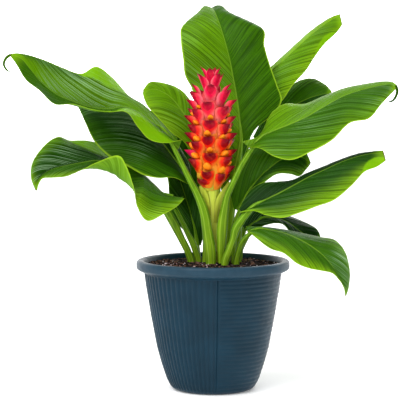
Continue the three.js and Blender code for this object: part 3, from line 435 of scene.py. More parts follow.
def grid_faces(rows, columns, closed=False, flipped=False):
    """Quads of a grid of rows by columns of points, whose last column may join the first"""
    row, column = np.mgrid[0 : rows - 1, 0 : columns - (0 if closed else 1)]
    after = (column + 1) % columns
    quads = [row * columns + column, row * columns + after]
    quads += [(row + 1) * columns + after, (row + 1) * columns + column]
    faces = np.stack([corner.ravel() for corner in quads], axis=1)
    return faces[:, ::-1] if flipped else faces


def add_sheet(shape, grid, upper, lower, **values):
    """A closed thin body: the grid's points moved up and down along its normals"""
    rows, columns = grid.shape[:2]
    normals = unit(np.cross(np.gradient(grid, axis=1), np.gradient(grid, axis=0)))
    top = grid + normals * upper[..., None]
    bottom = grid - normals * lower[..., None]
    size = rows * columns
    faces = [grid_faces(rows, columns), grid_faces(rows, columns, flipped=True) + size]
    index = np.arange(size).reshape(rows, columns)
    border = np.concatenate([index[0, :], index[1:, -1], index[-1, -2::-1], index[-2:0:-1, 0]])
    after = np.roll(border, -1)
    faces.append(np.stack([after, border, border + size, after + size], axis=1))
    both = {"under": np.repeat([0, 1], size)}
    for key, value in values.items():
        both[key] = np.tile(np.broadcast_to(value, (rows, columns)).ravel(), 2)
    points = np.concatenate([top.reshape(-1, 3), bottom.reshape(-1, 3)])
    shape.add(points, np.concatenate(faces), **both)


def add_tube(shape, path, radii, steps, sides, slot=0, ridges=0, **values):
    """A closed tube along a smooth line, with a radius for each point and five slight ridges"""
    shares = np.linspace(0, 1, steps + 1)
    centres = smooth_line(path, shares)
    widths = smooth_line(radii, shares) * MM
    tangents = unit(np.gradient(centres, axis=0))
    side = np.array((1, 0, 0))
    turns = np.linspace(0, 2 * math.pi, sides, endpoint=False)
    rings = []
    for centre, tangent, width in zip(centres, tangents, widths):
        side = unit(side - tangent * side.dot(tangent))
        across = np.cross(tangent, side)
        relief = width * (1 + ridges * np.cos(5 * turns + 0.7))
        ring = centre + np.outer(relief * np.cos(turns), side)
        rings.append(ring + np.outer(relief * np.sin(turns), across))
    length = np.append(np.repeat(shares, sides), [0, 1])
    turn = np.append(np.tile(np.cos(turns), steps + 1), [0, 0])
    shape.add_rings(np.array(rings), centres[[0, -1]], slot, length=length, turn=turn, **values)


# Materials
def display(colour):
    """A colour as shown on a screen, 0 to 255, as linear light"""
    shares = np.array(colour, float) / 255
    linear = np.where(shares < 0.04045, shares / 12.92, ((shares + 0.055) / 1.055) ** 2.4)
    return (*linear, 1)


class Paint:
    """A material whose nodes are wired one after another"""

    def __init__(self, name, roughness=0.5, gloss=0.1, glow=0):
        self.material = bpy.data.materials.new(name)
        self.material.use_nodes = True
        self.tree = self.material.node_tree
        self.shader = self.tree.nodes["Principled BSDF"]
        self.shader.inputs["Roughness"].default_value = roughness
        self.shader.inputs["Specular IOR Level"].default_value = gloss
        self.shader.inputs["Emission Color"].default_value = WHITE
        self.shader.inputs["Emission Strength"].default_value = glow

    def feed(self, socket, value):
        if isinstance(value, bpy.types.NodeSocket):
            self.tree.links.new(value, socket)
        else:
            socket.default_value = value

    def node(self, kind, **settings):
        node = self.tree.nodes.new("ShaderNode" + kind)
        for key, value in settings.items():
            setattr(node, key, value)
        return node

    def value(self, name):
        """One of the mesh's named values"""
        return self.node("Attribute", attribute_name=name).outputs["Fac"]

    def math(self, operation, first, second=0):
        node = self.node("Math", operation=operation)
        self.feed(node.inputs[0], first)
        self.feed(node.inputs[1], second)
        return node.outputs[0]

    def step(self, value, low, high, low_to=0, high_to=1):
        """The value's smooth passage from low to high, as a number from low_to to high_to"""
        node = self.node("MapRange", interpolation_type="SMOOTHSTEP")
        for socket, given in zip(node.inputs, (value, low, high, low_to, high_to)):
            self.feed(socket, given)
        return node.outputs[0]

    def mix(self, share, first, second):
        node = self.node("Mix", data_type="RGBA")
        self.feed(node.inputs["Factor"], share)
        for socket, given in zip((node.inputs[6], node.inputs[7]), (first, second)):
            self.feed(socket, display(given) if isinstance(given, tuple) else given)
        return node.outputs[2]

    def coat(self, colour, over, amount, share):
        """The colour covered by another, by an amount times a share"""
        return self.mix(self.math("MULTIPLY", share, amount), colour, over)

    def cloud(self, place, scale, detail):
        node = self.node("TexNoise")
        node.inputs["Scale"].default_value = scale
        node.inputs["Detail"].default_value = detail
        self.feed(node.inputs["Vector"], place)
        return node.outputs["Fac"]

    def noise(self, scale, detail=3, stretch=(1, 1, 1)):
        """Noise from 0 to 1 over the piece's own space"""
        move = self.node("Mapping")
        move.inputs["Scale"].default_value = stretch
        self.feed(move.inputs["Vector"], self.node("TexCoord").outputs["Object"])
        return self.cloud(move.outputs["Vector"], scale, detail)

    def streaks(self, along, across, lengthwise, crosswise):
        """Irregular streaks from 0 to 1: noise over two values, each with its own scale"""
        place = self.node("CombineXYZ")
        self.feed(place.inputs[0], self.math("MULTIPLY", along, lengthwise))
        self.feed(place.inputs[1], self.math("MULTIPLY", across, crosswise))
        return self.cloud(place.outputs[0], 1, 2)

    def finish(self, colour, roughness=None, bump=None, depth=0.0002):
        self.feed(self.shader.inputs["Base Color"], colour)
        if roughness is not None:
            self.feed(self.shader.inputs["Roughness"], roughness)
        if bump is not None:
            node = self.node("Bump")
            node.inputs["Distance"].default_value = depth
            self.feed(node.inputs["Height"], bump)
            self.feed(self.shader.inputs["Normal"], node.outputs["Normal"])
        return self.material


VEIN_SHADE = (2, 26, 2)
MIDRIB = (126, 168, 44)
MARGIN = (156, 198, 40)
UNDERSIDE = (98, 146, 30)
# A pale colour painted on the veins as the leaves' sheen: a painted reflection
PAINTED_SHEEN = (150, 186, 140)
BROWN = (84, 52, 20)


def leaf_material(name, left, left_edge, right, right_edge, left_painted_sheen, right_painted_sheen):
    """A glossy leaf: two halves with brighter margins, fine streaked veins and a pale midrib,
    with a painted sheen on the veins and folds painted brighter as if lit
    """
    paint = Paint(name, gloss=0.035)
    across, along, vein, rib, under = map(paint.value, ("across", "along", "vein", "rib", "under"))
    away = paint.math("ABSOLUTE", across)
    on_right = paint.step(across, -0.03, 0.03)
    patches = paint.noise(14)
    edge = paint.step(paint.math("ADD", away, paint.math("MULTIPLY", patches, 0.2)), 0.42, 1.12)
    edge = paint.math("POWER", edge, 1.5)
    left_half = paint.mix(edge, left, left_edge)
    colour = paint.mix(on_right, left_half, paint.mix(edge, right, right_edge))
    shade = paint.mix(0.66, colour, VEIN_SHADE)
    colour = paint.coat(colour, shade, 0.25, paint.step(patches, 0.6, 0.35))
    bands = paint.streaks(vein, rib, 0.12, 0.012)
    lines = paint.streaks(vein, rib, 0.42, 0.012)
    fine = paint.streaks(vein, rib, 1.1, 0.02)
    colour = paint.coat(colour, shade, 0.35, paint.step(bands, 0.52, 0.36))
    colour = paint.coat(colour, shade, 0.9, paint.step(lines, 0.49, 0.4))
    colour = paint.coat(colour, shade, 0.5, paint.step(fine, 0.48, 0.36))
    # Painted sheen: pale streaks along the veins, in patches, stand in for the lamp's reflection on the
    # glossy leaf
    sheen = paint.step(across, -0.03, 0.03, left_painted_sheen, right_painted_sheen)
    glow = paint.math("MULTIPLY", paint.step(lines, 0.5, 0.62), paint.step(paint.noise(9), 0.42, 0.62))
    colour = paint.coat(colour, PAINTED_SHEEN, sheen, glow)
    # Painted light: folds that face the lamp are painted a brighter green
    colour = paint.coat(colour, LIT_FOLD_GREEN, 0.9, paint.value("flap"))
    colour = paint.coat(colour, UNDERSIDE, 0.5, under)
    colour = paint.mix(paint.step(along, 0.86, 0.98, 0, 0.6), colour, LIME)
    core = paint.step(paint.math("DIVIDE", rib, paint.step(along, 0, 0.95, 1.9, 0.5)), 1.2, 0.4)
    colour = paint.coat(colour, MIDRIB, 0.5, core)
    colour = paint.coat(colour, MARGIN, 0.7, paint.step(away, 0.955, 0.99))
    colour = paint.mix(paint.step(along, 0.985, 1), colour, BROWN)
    rough = paint.step(paint.noise(60), 0.3, 0.7, 0.26, 0.38)
    rough = paint.math("ADD", rough, paint.math("MULTIPLY", under, 0.2))
    bump = paint.math("ADD", lines, paint.math("MULTIPLY", fine, 0.5))
    return paint.finish(colour, rough, bump, 0.0004)


# Stalk colours: low down, high up, of the streaks and of the painted shade on the flanks, and of the
# channel's edges, which also serve as a painted highlight
LEAF_STALK_GREENS = ((124, 158, 22), (98, 144, 16), (66, 108, 10), (170, 204, 70))
FLOWER_STALK_GREENS = ((140, 142, 40), (198, 212, 72), (160, 178, 46), (216, 224, 110))


def stalk_material(name, low, high, streak_and_flank_shade, pale):
    """A fleshy stalk with fine lengthwise streaks, flanks darkened as painted shade, and pale lines at the
    edges of its channel that also serve as a painted highlight
    """
    paint = Paint(name)
    length = paint.value("length")
    colour = paint.mix(paint.step(length, 0.1, 0.8), low, high)
    lines = paint.step(paint.noise(160, 2, (1, 1, 0.06)), 0.42, 0.62)
    colour = paint.coat(colour, streak_and_flank_shade, 0.5, lines)
    colour = paint.coat(colour, streak_and_flank_shade, 0.4, paint.step(paint.noise(30), 0.5, 0.72))
    turn = paint.value("turn")
    # Painted shade: the stalk's sides, as seen from the front, are darkened
    painted_flank_shade = paint.step(paint.math("ABSOLUTE", turn), 0.6, 1, 0, 0.4)
    colour = paint.mix(painted_flank_shade, colour, streak_and_flank_shade)
    # Pale lines just off the front: the channel's edges and partly a painted highlight
    for line in (0.52, -0.4):
        near = paint.math("ABSOLUTE", paint.math("SUBTRACT", turn, line))
        colour = paint.mix(paint.step(near, 0.13, 0.02, 0, 0.5), colour, pale)
    rough = paint.step(paint.noise(80), 0.3, 0.7, 0.3, 0.45)
    return paint.finish(colour, rough, lines, 0.0002)


def bract_material():
    """Waxy bracts: orange at the foot and pinker near the cone's top, crimson towards the tip"""
    paint = Paint("cone_bract")
    tip, high, fold = map(paint.value, ("tip", "high", "fold"))
    foot = paint.mix(paint.step(high, 0.25, 0.85), (238, 134, 34), (248, 112, 124))
    middle = paint.mix(paint.step(high, 0.4, 0.9), (228, 34, 8), (246, 18, 76))
    end = paint.mix(paint.step(high, 0.3, 0.95), (152, 2, 16), (206, 6, 56))
    keel = paint.math("SUBTRACT", tip, paint.math("MULTIPLY", fold, 0.34))
    colour = paint.mix(paint.step(keel, 0.04, 0.38), foot, middle)
    colour = paint.mix(paint.step(keel, 0.4, 0.52), colour, end)
    colour = paint.mix(paint.step(tip, 0.66, 0.94, 0, 0.75), colour, (88, 0, 24))
    pale = paint.math("MULTIPLY", paint.step(fold, 0.7, 0.98), paint.step(tip, 0.8, 0.5))
    colour = paint.coat(colour, foot, 0.7, pale)
    colour = paint.coat(colour, (150, 6, 22), 0.6, paint.value("under"))
    brim = paint.math("MULTIPLY", paint.step(fold, 0.88, 1), paint.step(tip, 0.6, 0.9))
    colour = paint.coat(colour, (92, 4, 22), 0.5, brim)
    colour = paint.coat(colour, (250, 110, 60), 0.15, paint.step(paint.noise(200), 0.5, 0.75))
    colour = paint.coat(colour, (214, 16, 82), 0.75, paint.value("blush"))
    rough = paint.step(paint.noise(120), 0.3, 0.7, 0.3, 0.45)
    return paint.finish(colour, rough, paint.noise(700), 0.00015)


def core_material():
    """The cone's axis between its bracts: golden green low down, rosy near the top"""
    paint = Paint("cone_core", gloss=0.08)
    length = paint.value("length")
    colour = paint.mix(paint.step(length, 0, 0.25), (190, 196, 62), (236, 140, 40))
    colour = paint.mix(paint.step(length, 0.4, 0.8), colour, (224, 74, 84))
    spots = paint.step(paint.noise(150), 0.45, 0.7)
    return paint.finish(paint.coat(colour, (214, 96, 48), 0.4, spots), None, spots)


def bud_material():
    """Waxy orange flower buds, yellower at the tip"""
    paint = Paint("flower_bud", 0.35)
    colour = paint.mix(paint.step(paint.value("tip"), 0.2, 0.9), (236, 92, 8), (252, 146, 26))
    spots = paint.step(paint.noise(400), 0.45, 0.7)
    return paint.finish(paint.coat(colour, (255, 120, 20), 0.25, spots), None, spots)


def pot_material():
    """Moulded slate-blue plastic: satin, with a faint mottle, scuffs on the foot, and a lighter rim that
    is partly scuffs and partly a painted highlight
    """
    paint = Paint("pot_plastic", gloss=0.14)
    mottle = paint.step(paint.noise(24), 0.3, 0.75)
    colour = paint.mix(mottle, (11, 43, 58), (15, 50, 67))
    # Lighter on the rim and foot: scuffs, and on the rim also a painted highlight
    scuffs_and_rim_highlight = paint.math("MULTIPLY", paint.value("edge"), paint.step(paint.noise(90), 0.4, 0.7, 0.5, 0.7))
    colour = paint.coat(colour, (58, 82, 98), 0.6, scuffs_and_rim_highlight)
    rough = paint.step(paint.noise(140), 0.3, 0.7, 0.34, 0.48)
    return paint.finish(colour, rough, paint.noise(1600, 2), 0.00008)


def soil_material(name, dark, light, warm):
    """Crumbly potting soil or bark, each crumb in its own brown"""
    paint = Paint(name, 0.9)
    grain = paint.step(paint.noise(420), 0.35, 0.7)
    colour = paint.mix(grain, dark, light)
    colour = paint.mix(paint.step(paint.value("tint"), 0.45, 1), colour, warm)
    return paint.finish(colour, None, paint.noise(1100), 0.0006)


# Leaf blades, in millimetres
PLEAT_PITCH = 17
PLEAT_DEPTH = 0.4
BLADE_HALF = 0.36
MARGIN_THINNING = 0.14
GROOVE_DEPTH = 0.7
GROOVE_WIDTH = 1.6
KEEL_DEPTH = 1.5
KEEL_WIDTH = 2

# How far a half of a blade arches up, as a share of its width
CROWN = 0.1

# Sets the right half's vein pattern far from the left one's, so that the two differ
VEIN_SHIFT = 300

# Points along a blade, and steps from its midrib to a margin
LEAF_ROWS = 132
HALF_COLUMNS = 18


def blade_grid(leaf, rows, half_columns):
    """The blade's middle surface, row by row, with each point's share along and across it"""
    along = np.linspace(0, 1, rows)
    across = np.linspace(-1, 1, 2 * half_columns + 1)
    rib, left, right = (smooth_line(sight(leaf[line]), along) for line in ("rib", "left", "right"))
    ahead = np.gradient(rib, axis=0)
    halves = []
    for number, (margin, turn) in enumerate(((left, -1), (right, 1))):
        reach = margin - rib
        width = np.linalg.norm(reach, axis=1)
        normal = unit(np.cross(reach, ahead)) * turn
        bow = CROWN * width
        if "bows" in leaf:
            bows = np.array(leaf["bows"], float)[:, number]
            bow = np.interp(along, np.linspace(0, 1, len(bows)), bows) * MM
        share = np.abs(across[across * turn >= 0])
        arch = 4 * share * (1 - share)
        half = rib[:, None] + reach[:, None] * share[:, None]
        half = half + normal[:, None] * (arch * bow[:, None])[..., None]
        halves.append(half)
    grid = np.concatenate([halves[0][:, :-1], halves[1]], axis=1)
    return (grid, *np.meshgrid(along, across, indexing="ij"))


def flap_share(along, across, flaps):
    """How much a place on the leaf belongs to its folds that are painted brighter as lit, each from its
    crease outwards
    """
    share = np.zeros(along.shape)
    for half, start, end, inmost, softness in flaps:
        middle, reach = (start + end) / 2, (end - start) / 2
        crease = 1 - (1 - inmost) * (1 - ((along - middle) / reach) ** 2)
        part = smoothstep(-softness, softness, half * across - crease)
        share = np.maximum(share, part * (np.abs(along - middle) < reach))
    return share


def add_blade(shape, leaf, slant):
    """A thin pleated blade with a grooved midrib above and its keel below"""
    grid, along, across = blade_grid(leaf, LEAF_ROWS, HALF_COLUMNS)
    midrib = grid[:, HALF_COLUMNS]
    rib = np.linalg.norm(grid - midrib[:, None], axis=2) / MM
    length = np.append(0, np.cumsum(np.linalg.norm(np.diff(midrib, axis=0), axis=1))) / MM
    vein = length[:, None] - slant * rib + VEIN_SHIFT * (across > 0)
    turn = 2 * math.pi * vein / PLEAT_PITCH
    calm = smoothstep(1.5, 7, rib) * (1 - 0.5 * smoothstep(0.85, 1, np.abs(across)))
    calm = calm * (1 - smoothstep(0.9, 1, along))
    pleat = PLEAT_DEPTH * calm * (0.6 * np.cos(turn) + 0.4 * np.cos(1.63 * turn + 1.3))
    groove = GROOVE_DEPTH * np.exp(-((rib / GROOVE_WIDTH) ** 2)) * (1 - 0.8 * along)
    keel = KEEL_DEPTH * np.exp(-((rib / KEEL_WIDTH) ** 2)) * (1 - along)
    body = BLADE_HALF - MARGIN_THINNING * np.abs(across) ** 4
    upper = (body + pleat - groove) * MM
    lower = (body - pleat + groove + keel) * MM
    flap = flap_share(along, across, leaf.get("flaps", []))
    add_sheet(shape, grid, upper, lower, along=along, across=across, rib=rib, vein=vein, flap=flap)


def rooted(path):
    """The path with one more point, in the soil straight below its first"""
    return np.concatenate([[(*path[0][:2], STEM_FOOT * MM)], path])


def add_stalk(shape, leaf, slot):
    """The leaf's stalk, which runs out into the start of the midrib"""
    path = sight(leaf["stalk"] + leaf["rib"][1:3])
    radii = [point[3] for point in leaf["stalk"]]
    radii = [radii[0], *radii, radii[-1] * 0.62, radii[-1] * 0.2]
    add_tube(shape, rooted(path), radii, steps=6 * len(radii), sides=20, slot=slot, ridges=0.035)


def make_leaf(name, stalk_paint):
    leaf = LEAVES[name]
    *look, slant = leaf["look"]
    shape = Shape()
    add_blade(shape, leaf, slant)
    add_stalk(shape, leaf, 1)
    if "tendril" in leaf:
        thread = sight(leaf["tendril"])
        add_tube(shape, thread, [2, 2, 1.7, 1.3, 0.5], steps=24, sides=10, across=0.5, rib=20)
    blade_paint = leaf_material(name + "_blade", *look)
    piece = shape.piece("fine_" + name, [blade_paint, stalk_paint])
    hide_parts(name)


# Flower stalk and the blades of its two sheath leaves, given as the leaves are
FLOWER_STALK = [
    (1, 176, 4, 6.4), (1, 215, 3, 6.4), (1, 245, 1, 6.8), (-0.5, 265, 0, 8), (-1, 274, 0, 9.2),
]
SHEATHS = [
    dict(
        rib=[(4, 234, -4), (8, 252, -6), (14, 270, -5), (23, 291, -2)],
        left=[(1, 234, -5), (2, 252, -9), (6, 270, -10), (21, 291, -4)],
        right=[(6, 234, -2), (13, 252, 0), (21, 271, 2), (25, 290, -1)],
    ),
    dict(
        rib=[(-6, 244, -4), (-9, 258, -6), (-13, 272, -6), (-19, 285, -5)],
        left=[(-8, 244, -1), (-11.5, 258, -2), (-16, 273, -3), (-19.5, 284, -5)],
        right=[(-4, 244, -6), (-4.5, 258, -9), (-7, 272, -9), (-14, 287, -6)],
    ),
]


def make_flower_stalk(paint):
    shape = Shape()
    path = sight(FLOWER_STALK)
    top = (*path[-1][:2], (CONE_BOTTOM + 3) * MM)
    radii = [point[3] for point in FLOWER_STALK]
    radii = [radii[0], *radii, radii[-1] + 0.5]
    add_tube(shape, np.concatenate([rooted(path), [top]]), radii, steps=48, sides=28, ridges=0.03)
    for sheath in SHEATHS:
        grid, along, _ = blade_grid(sheath, 24, 5)
        thickness = np.full(along.shape, MM)
        add_sheet(shape, grid, 0.4 * thickness, 0.5 * thickness, length=along)
    piece = shape.piece("fine_flower_stalk", [paint])
    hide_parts("flower_stalk")


# Flower cone
def cone_swell(z):
    """How full the cone is at a height: narrow at the stalk, then full, closing to a blunt top"""
    opening = min(1, 0.5 + (z - CONE_BOTTOM) / 40)
    closing = max(0, (z - CONE_BOTTOM) / (CONE_TOP - CONE_BOTTOM) - 0.68) / 0.32
    return opening * max(0.2, 1 - closing**1.8)


def bract_places():
    """Where each bract stands, column by column: its turn in degrees, its lip's height and its row"""
    places = [(LOWEST_BRACT_TURN, LOWEST_BRACT_LIP, 0)]
    for turn, first_lip in BRACT_COLUMNS:
        rows = int((HIGHEST_LIP - first_lip) / BRACT_PITCH) + 1
        places += [(turn, first_lip + row * BRACT_PITCH, row) for row in range(rows)]
    return places


class BractSeat:
    """A place on the cone: out from its side, round it, and up from the bract's lip"""

    def __init__(self, turn, lip):
        angle = math.radians(turn)
        self.out = np.array((math.cos(angle), math.sin(angle), 0))
        self.around = np.array((-math.sin(angle), math.cos(angle), 0))
        self.high = (lip - LOWEST_LIP) / (HIGHEST_LIP - LOWEST_LIP)
        rise = LOW_BRACT_RISE + (HIGH_BRACT_RISE - LOW_BRACT_RISE) * self.high
        swell = cone_swell(max(lip - rise / 2, CONE_BOTTOM + 3))
        self.size = 0.55 + 0.45 * swell
        self.foot = np.array((CONE_AXIS_X, 0, lip)) + self.out * CORE_RADIUS * swell
        self.depth = min(1, (lip - CONE_BOTTOM - 1) / rise)

    def place(self, away, sideways, up):
        points = self.foot + (away * self.size)[..., None] * self.out
        points = points + (sideways * self.size)[..., None] * self.around
        points[..., 2] += np.where(up < 0, up * self.depth, up)
        return points * MM


# A bract from its foot to its tip, low on the cone and near its top, in millimetres: how far out and
# up its keel is, half its width, and how far out and up its margins are
LOW_BRACT = np.array([
    (-4, -18, 5, -4, -17), (0, -12.5, 8.5, -2, -8), (3.2, -7, 10.8, 0, 1),
    (7.4, -2.5, 11, 3, 6.6), (11.8, 2.2, 6, 9, 7.6), (16, 7.4, 0.2, 16, 7.7),
])
HIGH_BRACT = np.array([
    (-3, -22, 4.5, -4, -21), (0.5, -16, 8, -1.5, -12), (4, -9.5, 9, 1, -4),
    (8, -3, 7.4, 5.6, 1.5), (12, 2.6, 4.2, 11.4, 4.4), (16, 7.4, 0.2, 16, 7.6),
])

# How much lower the lips at the cone's front and back hang than those at its sides, in millimetres
BRACT_DROOP = 4

# Points along a bract and across it
BRACT_ROWS = 17
BRACT_POINTS = 13


def add_bract(shape, seat, chance, blush):
    """A boat-shaped pointed bract: its keel bulges out and its margins stand up on both sides"""
    lines = LOW_BRACT + (HIGH_BRACT - LOW_BRACT) * smoothstep(0.45, 1, seat.high)
    lines = lines * (1, 1, chance.uniform(0.88, 1.1), 1, 1)
    along = np.linspace(0, 1, BRACT_ROWS)
    keel_out, keel_up, half, margin_out, margin_up = smooth_line(lines, along).T[..., None]
    along = along[:, None]
    across = np.linspace(-1, 1, BRACT_POINTS)
    share = np.abs(across) ** 2.2
    reach = chance.uniform(0.9, 1.12)
    away = (keel_out + (margin_out - keel_out) * share) * reach
    droop = BRACT_DROOP * abs(seat.out[1]) * (1 - seat.high) * along**2
    up = keel_up + (margin_up - keel_up) * share + chance.uniform(-1.5, 1.5) - droop
    sideways = half * np.sin(across * math.pi / 2) + along**2 * chance.uniform(-2.6, 2.6)
    ripple = 0.5 * np.cos(7 * along + chance.uniform(0, 6)) * share
    grid = seat.place(away + ripple, sideways, up + ripple)
    thick = (0.7 - 0.4 * along) * (1 - 0.5 * share) * MM
    add_sheet(shape, grid, thick, thick, tip=along, fold=np.abs(across), high=seat.high, blush=blush)


def add_bud(shape, seat, chance):
    """A fat bud with three lobes, standing in the bract's mouth"""
    size = chance.uniform(0.85, 1.15) * (1.3 - 0.8 * seat.high)
    along = np.linspace(0, 1, 12)[:, None]
    turn = np.linspace(0, 2 * math.pi, 20, endpoint=False)
    lobes = 1 + 0.14 * np.cos(3 * turn) * along
    girth = np.sin(math.pi * np.clip(0.06 + 0.9 * along, 0, 1)) ** 0.7 * lobes
    lean = math.radians(36 + chance.uniform(-6, 6))
    reach = 13 * size * along
    radial = 3.6 * size * girth
    away = -2 + reach * math.cos(lean) - radial * np.cos(turn) * math.sin(lean)
    up = 5.5 + reach * math.sin(lean) + radial * np.cos(turn) * math.cos(lean)
    sideways = 1.35 * radial * np.sin(turn) + chance.uniform(-1, 1)
    grid = seat.place(away, sideways, up)
    poles = [grid[0].mean(0), grid[-1].mean(0)]
    shape.add_rings(grid, poles, 1, tip=np.append(np.repeat(along, turn.size), [0, 1]))


def make_flower_cone():
    chance = random.Random(7)
    shape = Shape()
    heights = np.linspace(CONE_BOTTOM, CONE_TOP, 40)
    path = np.array([(CONE_AXIS_X, 0, z) for z in heights]) * MM
    radii = [CORE_RADIUS * cone_swell(z) for z in heights]
    add_tube(shape, path, radii, steps=60, sides=32, slot=2, ridges=0.03)
    for turn, lip, row in bract_places():
        seat = BractSeat(turn + BRACT_SWAY * (-1) ** (row + 1), lip)
        if turn == LOWEST_BRACT_TURN:
            seat.size *= LOWEST_BRACT_GROWTH
        add_bract(shape, seat, chance, float((turn, row) == BLUSHING_BRACT))
        if row < BUD_ROWS:
            add_bud(shape, seat, chance)
    piece = shape.piece("fine_flower_cone", [bract_material(), bud_material(), core_material()])
    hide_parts("flower_cone")


# Pot
def side_radius(z):
    return np.interp(z, [height for _, height in POT_SIDE], [radius for radius, _ in POT_SIDE])


def wall_relief(turn, z):
    """How deep the wall lies under its ribs: upright in two opposite quarters, level in the others"""
    quarter = np.mod(turn - SEAM_ANGLE, math.pi / 2)
    upright = np.mod(np.floor((turn - SEAM_ANGLE) / (math.pi / 2)), 2) == 0
    from_seam = np.minimum(quarter, math.pi / 2 - quarter) * side_radius(z)
    flutes = 0.5 - 0.5 * np.cos(UPRIGHT_RIBS * quarter)
    rings = 0.5 + 0.5 * np.cos(2 * math.pi * (z - RIBS_FROM) / RING_RIB_PITCH)
    plain = smoothstep(2, 6, from_seam)
    relief = np.where(upright, FLUTE_DEPTH * flutes**1.6, RING_DEPTH * rings**1.5 * plain)
    ends = smoothstep(RIBS_FROM - 5, RIBS_FROM, z) * (1 - smoothstep(RIBS_TO, RIBS_TO + 1.5, z))
    seam = SEAM_DEPTH * (1 - smoothstep(0.3, 1, from_seam))
    return (relief + seam) * ends


def pot_turns():
    """Where round the pot its points stand: even on upright ribs, and elsewhere closer near the seams"""
    quarters = []
    for number in range(4):
        upright = number % 2 == 0
        steps = UPRIGHT_RIBS // 4 * RIB_COLUMNS if upright else LEVEL_COLUMNS
        share = np.linspace(0, 1, steps, endpoint=False)
        near = 0.5 - 0.5 * np.cos(math.pi * share)
        spread = share if upright else 0.6 * near + 0.4 * share
        quarters.append(SEAM_ANGLE + (number + spread) * math.pi / 2)
    return np.concatenate(quarters)


def make_pot():
    turns = pot_turns()
    wall = np.linspace(POT_SIDE[0][1], RIBS_TO + 1.6, 190)
    outside = [*POT_FOOT[1:], *zip(side_radius(wall), wall), *POT_RIM]
    inside = [(side_radius(height) - WALL - RIB_DEPTH, height) for height in (RIBS_TO, BEND_HEIGHT)]
    profile = np.array([*outside, *POT_MOUTH, *inside, (FLOOR_RADIUS, FLOOR_THICKNESS)])
    radius, height = profile.T[..., None]
    relief = wall_relief(turns, height)
    relief[len(outside) :] = 0
    radius = radius - relief
    grid = np.stack([radius * np.cos(turns), radius * np.sin(turns), height + 0 * turns], axis=2)
    poles = np.array([(0, 0, POT_FOOT[0][1]), (0, 0, FLOOR_THICKNESS)])
    edge = smoothstep(100, 106, profile[:, 0]) + (1 - smoothstep(1, 6, profile[:, 1]))
    shape = Shape()
    shape.add_rings(grid * MM, poles * MM, edge=np.append(np.repeat(edge, len(turns)), [0, 0]))
    piece = shape.piece("fine_pot", [pot_material()])
    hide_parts("pot")


# The soil's underside as radius and height, and the layers of its roughness: fineness, seed, height
SOIL_UNDERSIDE = [(88, 152), (60, 150)]
SOIL_LAYERS = [(0.06, 3, 1.6), (0.35, 8, 0.9), (0.9, 5, 0.5)]


def soil_place(radius, turn):
    """A point of the mounded crumbly top: x, y and height"""
    x, y = radius * math.cos(turn), radius * math.sin(turn)
    mound = SOIL_TOP + SOIL_MOUND * (1 - (radius / SOIL_RADIUS) ** 2)
    layers = (noise.noise(Vector((x * fine, y * fine, seed))) * high for fine, seed, high in SOIL_LAYERS)
    return x, y, mound + sum(layers)


def make_soil():
    turns = np.linspace(0, 2 * math.pi, 240, endpoint=False)
    rings = [[soil_place(radius, turn) for turn in turns] for radius in np.linspace(1.5, SOIL_RADIUS, 78)]
    for radius, height in SOIL_UNDERSIDE:
        rings.append([(radius * math.cos(turn), radius * math.sin(turn), height) for turn in turns])
    poles = np.array([(0, 0, SOIL_TOP + SOIL_MOUND), (0, 0, SOIL_UNDERSIDE[-1][1])])
    shape = Shape()
    shape.add_rings(np.array(rings) * MM, poles * MM, flipped=True, tint=0.2)
    paint = soil_material("soil_crumb", (11, 8, 8), (30, 22, 19), (46, 31, 25))
    piece = shape.piece("fine_soil", [paint])
    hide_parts("soil")


CHIP_CORNERS = np.array([(x, y, z) for x in (-1, 1) for y in (-1, 1) for z in (-1, 1)], float)
CHIP_FACES = [(0, 1, 3, 2), (4, 6, 7, 5), (0, 4, 5, 1), (2, 3, 7, 6), (0, 2, 6, 4), (1, 5, 7, 3)]


def scatter(name, paint, count, sizes, flatness, seed):
    """Small angular crumbs lying on the soil, clear of the stems"""
    chance = random.Random(seed)
    stems = sight([leaf["stalk"][0] for leaf in LEAVES.values()])[:, :2] / MM
    shape = Shape()
    for _ in range(count):
        radius = (SOIL_RADIUS - 1.5) * math.sqrt(chance.random())
        turn = chance.uniform(0, 2 * math.pi)
        x, y, height = soil_place(radius, turn)
        if np.linalg.norm(stems - (x, y), axis=1).min() < STEM_CLEARANCE:
            continue
        size = chance.uniform(*sizes) * chance.uniform(0.6, 1)
        extents = np.array((size * chance.uniform(0.8, 1.9), size, size * flatness))
        corners = CHIP_CORNERS * extents / 2
        corners *= np.array([[chance.uniform(0.55, 1.1) for _ in range(3)] for _ in range(8)])
        spin, tilt = chance.uniform(0, math.pi), chance.uniform(-0.6, 0.6)
        pose = Matrix.Rotation(spin, 3, "Z") @ Matrix.Rotation(tilt, 3, "X")
        points = corners @ np.array(pose).T + (x, y, height + size * 0.15)
        shape.add(points * MM, CHIP_FACES, 0, tint=chance.random())
    piece = shape.piece(name, [paint], sharp=math.radians(25))


# Floor, light and camera, in metres
STAGE_SIZE = 30
WALL_DISTANCE = 16
PLANT_MIDDLE = Vector((0, 0, 0.3))


def stage_plane(name, corners, paint):
    mesh = bpy.data.meshes.new(name)
    mesh.from_pydata(corners, [], [(0, 1, 2, 3)])
    mesh.materials.append(paint)
    plane = add_object(name, mesh)


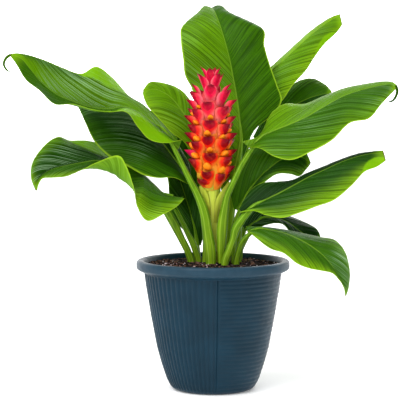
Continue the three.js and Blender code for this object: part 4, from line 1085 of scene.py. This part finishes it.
def make_stage():
    """A white floor that glows a little, and a bright paper wall far behind it"""
    paper = Paint("floor_paper", 0.9, gloss=0.5, glow=0.17)
    shade = paper.step(paper.noise(3), 0.3, 0.7)
    paint = paper.finish(paper.mix(shade, (248, 248, 248), (251, 251, 251)))
    size = STAGE_SIZE
    stage_plane("floor", [(-size, -size, 0), (size, -size, 0), (size, size, 0), (-size, size, 0)], paint)
    wall = Paint("wall_paper", 0.9, gloss=0.5, glow=1)
    paint = wall.finish(wall.mix(wall.noise(0.5), (250, 250, 250), (254, 254, 254)))
    back = WALL_DISTANCE
    stage_plane("wall", [(-size, back, -1), (size, back, -1), (size, back, 12), (-size, back, 12)], paint)


def lamp(kind, name, place, power, size):
    """A lamp that points at the middle of the plant"""
    light = bpy.data.lights.new(name, kind)
    light.energy = power
    if kind == "SUN":
        light.angle = size
    else:
        light.shape = "DISK"
        light.size = size
    holder = add_object(name, light)
    holder.location = place
    holder.rotation_euler = (PLANT_MIDDLE - Vector(place)).to_track_quat("-Z", "Y").to_euler()


def make_light():
    lamp("SUN", "key", (-0.9, -1.3, 3), power=2.3, size=math.radians(55))
    lamp("AREA", "softbox", (-1.1, -1.4, 1.5), power=8, size=0.9)
    lamp("AREA", "rim", (0.9, 1.5, 1.6), power=12, size=1)
    world = bpy.data.worlds.new("studio")
    world.use_nodes = True
    background = world.node_tree.nodes["Background"]
    background.inputs["Color"].default_value = WHITE
    background.inputs["Strength"].default_value = 0.62
    bpy.context.scene.world = world


def make_camera():
    camera_data = bpy.data.cameras.new("camera")
    camera_data.sensor_width = SENSOR_WIDTH
    camera_data.lens = SENSOR_WIDTH * REACH / FRAME_WIDTH
    camera_data.clip_end = 100
    camera = add_object("camera", camera_data)
    camera.location = (EYE + CAMERA_STEP) * MM
    camera.rotation_euler = Vector(AIM - EYE).to_track_quat("-Z", "Y").to_euler()
    bpy.context.scene.camera = camera


make_camera()
make_light()
make_stage()
make_pot()
make_soil()
bark_paint = soil_material("soil_bark", (16, 12, 11), (40, 29, 25), (112, 82, 68))
scatter("soil_chips", bark_paint, count=1700, sizes=(1.4, 5), flatness=0.55, seed=3)
grit_paint = soil_material("soil_grit", (186, 170, 172), (232, 220, 222), (200, 150, 160))
scatter("soil_perlite", grit_paint, count=260, sizes=(1, 2.6), flatness=0.9, seed=11)
leaf_stalk_paint = stalk_material("leaf_stalk", *LEAF_STALK_GREENS)
for leaf_name in LEAVES:
    make_leaf(leaf_name, leaf_stalk_paint)
make_flower_stalk(stalk_material("flower_stalk", *FLOWER_STALK_GREENS))
make_flower_cone()

scene = bpy.context.scene
scene.view_settings.view_transform = "Standard"
scene.view_settings.look = "None"
